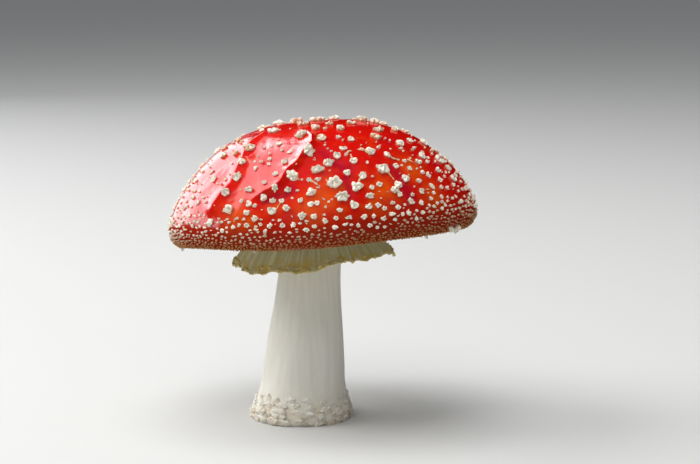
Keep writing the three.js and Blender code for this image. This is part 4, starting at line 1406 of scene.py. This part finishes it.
def gill_material():
    look = Look("gill_flesh")
    return look.done({
        "Base Color": look.blend(look.spots(160.0, 0.3, 0.7, 4.0), GILL_SHADE, GILL_LIGHT),
        "Roughness": 0.7,
        "Subsurface Weight": 0.2,
        "Subsurface Radius": (0.002, 0.0015, 0.001),
    })


# ---- the studio ----

VIEW_RISE = math.radians(8)
VIEW_DISTANCE = 0.79
VIEW_TARGET = Vector((0.019, 0, 0.0727))
LENS = 105  # millimetres
SENSOR = 36
NEAREST = 0.05
FLOOR_REACH = 12.0
FLOOR_GREY = (0.62, 0.62, 0.61, 1)
SKY_COLOUR = (0.9, 0.92, 0.95, 1)
SKY_STRENGTH = 0.32
LIT_MIDDLE = Vector((0.01, 0, 0.08))
DAYLIGHT = (1.0, 0.99, 0.97)
SKYLIGHT = (0.95, 0.97, 1.0)
# Each lamp's name, place, size, power, colour, the light that it gives, and shape. The soft ones
# give no gloss, and the others give the sheen on the cap's left alone.
LAMPS = (
    ("window_left", (-1.15, 0.1, 1.1), (1.2, 1.0), 18, DAYLIGHT, "diffuse", "RECTANGLE"),
    ("fill_front", (-0.35, -1.3, 1.6), (1.2, 1.0), 10, DAYLIGHT, "diffuse", "RECTANGLE"),
    ("top", (-0.1, -0.1, 1.9), (1.2, 1.2), 19, (1.0, 1.0, 1.0), "diffuse", "RECTANGLE"),
    ("sheen_behind", (-0.85, 1.3, 0.45), (1.3, 1.1), 12, SKYLIGHT, "glossy", "ELLIPSE"),
    ("sheen", (-1.24, 0.45, 0.975), (1.7, 1.8), 33, SKYLIGHT, "glossy", "RECTANGLE"),
    ("sheen_crest", (-0.70, 0.94, 1.16), (0.55, 0.55), 5.5, SKYLIGHT, "glossy", "ELLIPSE"),
)


def put_in_scene(name, data):
    item = bpy.data.objects.new(name, data)
    bpy.context.scene.collection.objects.link(item)
    return item


def make_camera():
    data = bpy.data.cameras.new("camera")
    data.lens = LENS
    data.sensor_width = SENSOR
    data.clip_start = NEAREST
    camera = put_in_scene("camera", data)
    back = Vector((0, -math.cos(VIEW_RISE), math.sin(VIEW_RISE)))
    camera.location = VIEW_TARGET + back * VIEW_DISTANCE
    camera.rotation_euler = (-back).to_track_quat("-Z", "Y").to_euler()
    bpy.context.scene.camera = camera


def make_stage():
    mesh = bpy.data.meshes.new("floor")
    reach = FLOOR_REACH
    corners = [(-reach, -reach, 0), (reach, -reach, 0), (reach, reach, 0), (-reach, reach, 0)]
    mesh.from_pydata(corners, [], [(0, 1, 2, 3)])
    mesh.materials.append(Look("floor").done({"Base Color": FLOOR_GREY, "Roughness": 0.9}))
    floor = put_in_scene("floor", mesh)
    floor.visible_glossy = False

    for name, place, size, watts, colour, given, shape in LAMPS:
        data = bpy.data.lights.new(name, "AREA")
        data.shape = shape
        data.size, data.size_y = size
        data.energy = watts
        data.color = colour
        light = put_in_scene(name, data)
        light.location = place
        light.rotation_euler = (LIT_MIDDLE - light.location).to_track_quat("-Z", "Y").to_euler()
        light.visible_diffuse = given == "diffuse"
        light.visible_glossy = given == "glossy"

    world = bpy.data.worlds.new("studio")
    bpy.context.scene.world = world
    world.use_nodes = True
    background = world.node_tree.nodes["Background"]
    background.inputs["Color"].default_value = SKY_COLOUR
    background.inputs["Strength"].default_value = SKY_STRENGTH
    world.cycles_visibility.glossy = False
    bpy.context.scene.view_settings.view_transform = "Standard"


# ---- the whole scene ----

make_camera()
make_stage()
make_cap(skin_material())
make_warts(wart_material())
stem_finish = stem_material()
make_stem(stem_finish)
make_volva(stem_finish)
make_ring(ring_material())
make_ring_flocks(flock_material())
make_gills(gill_material())
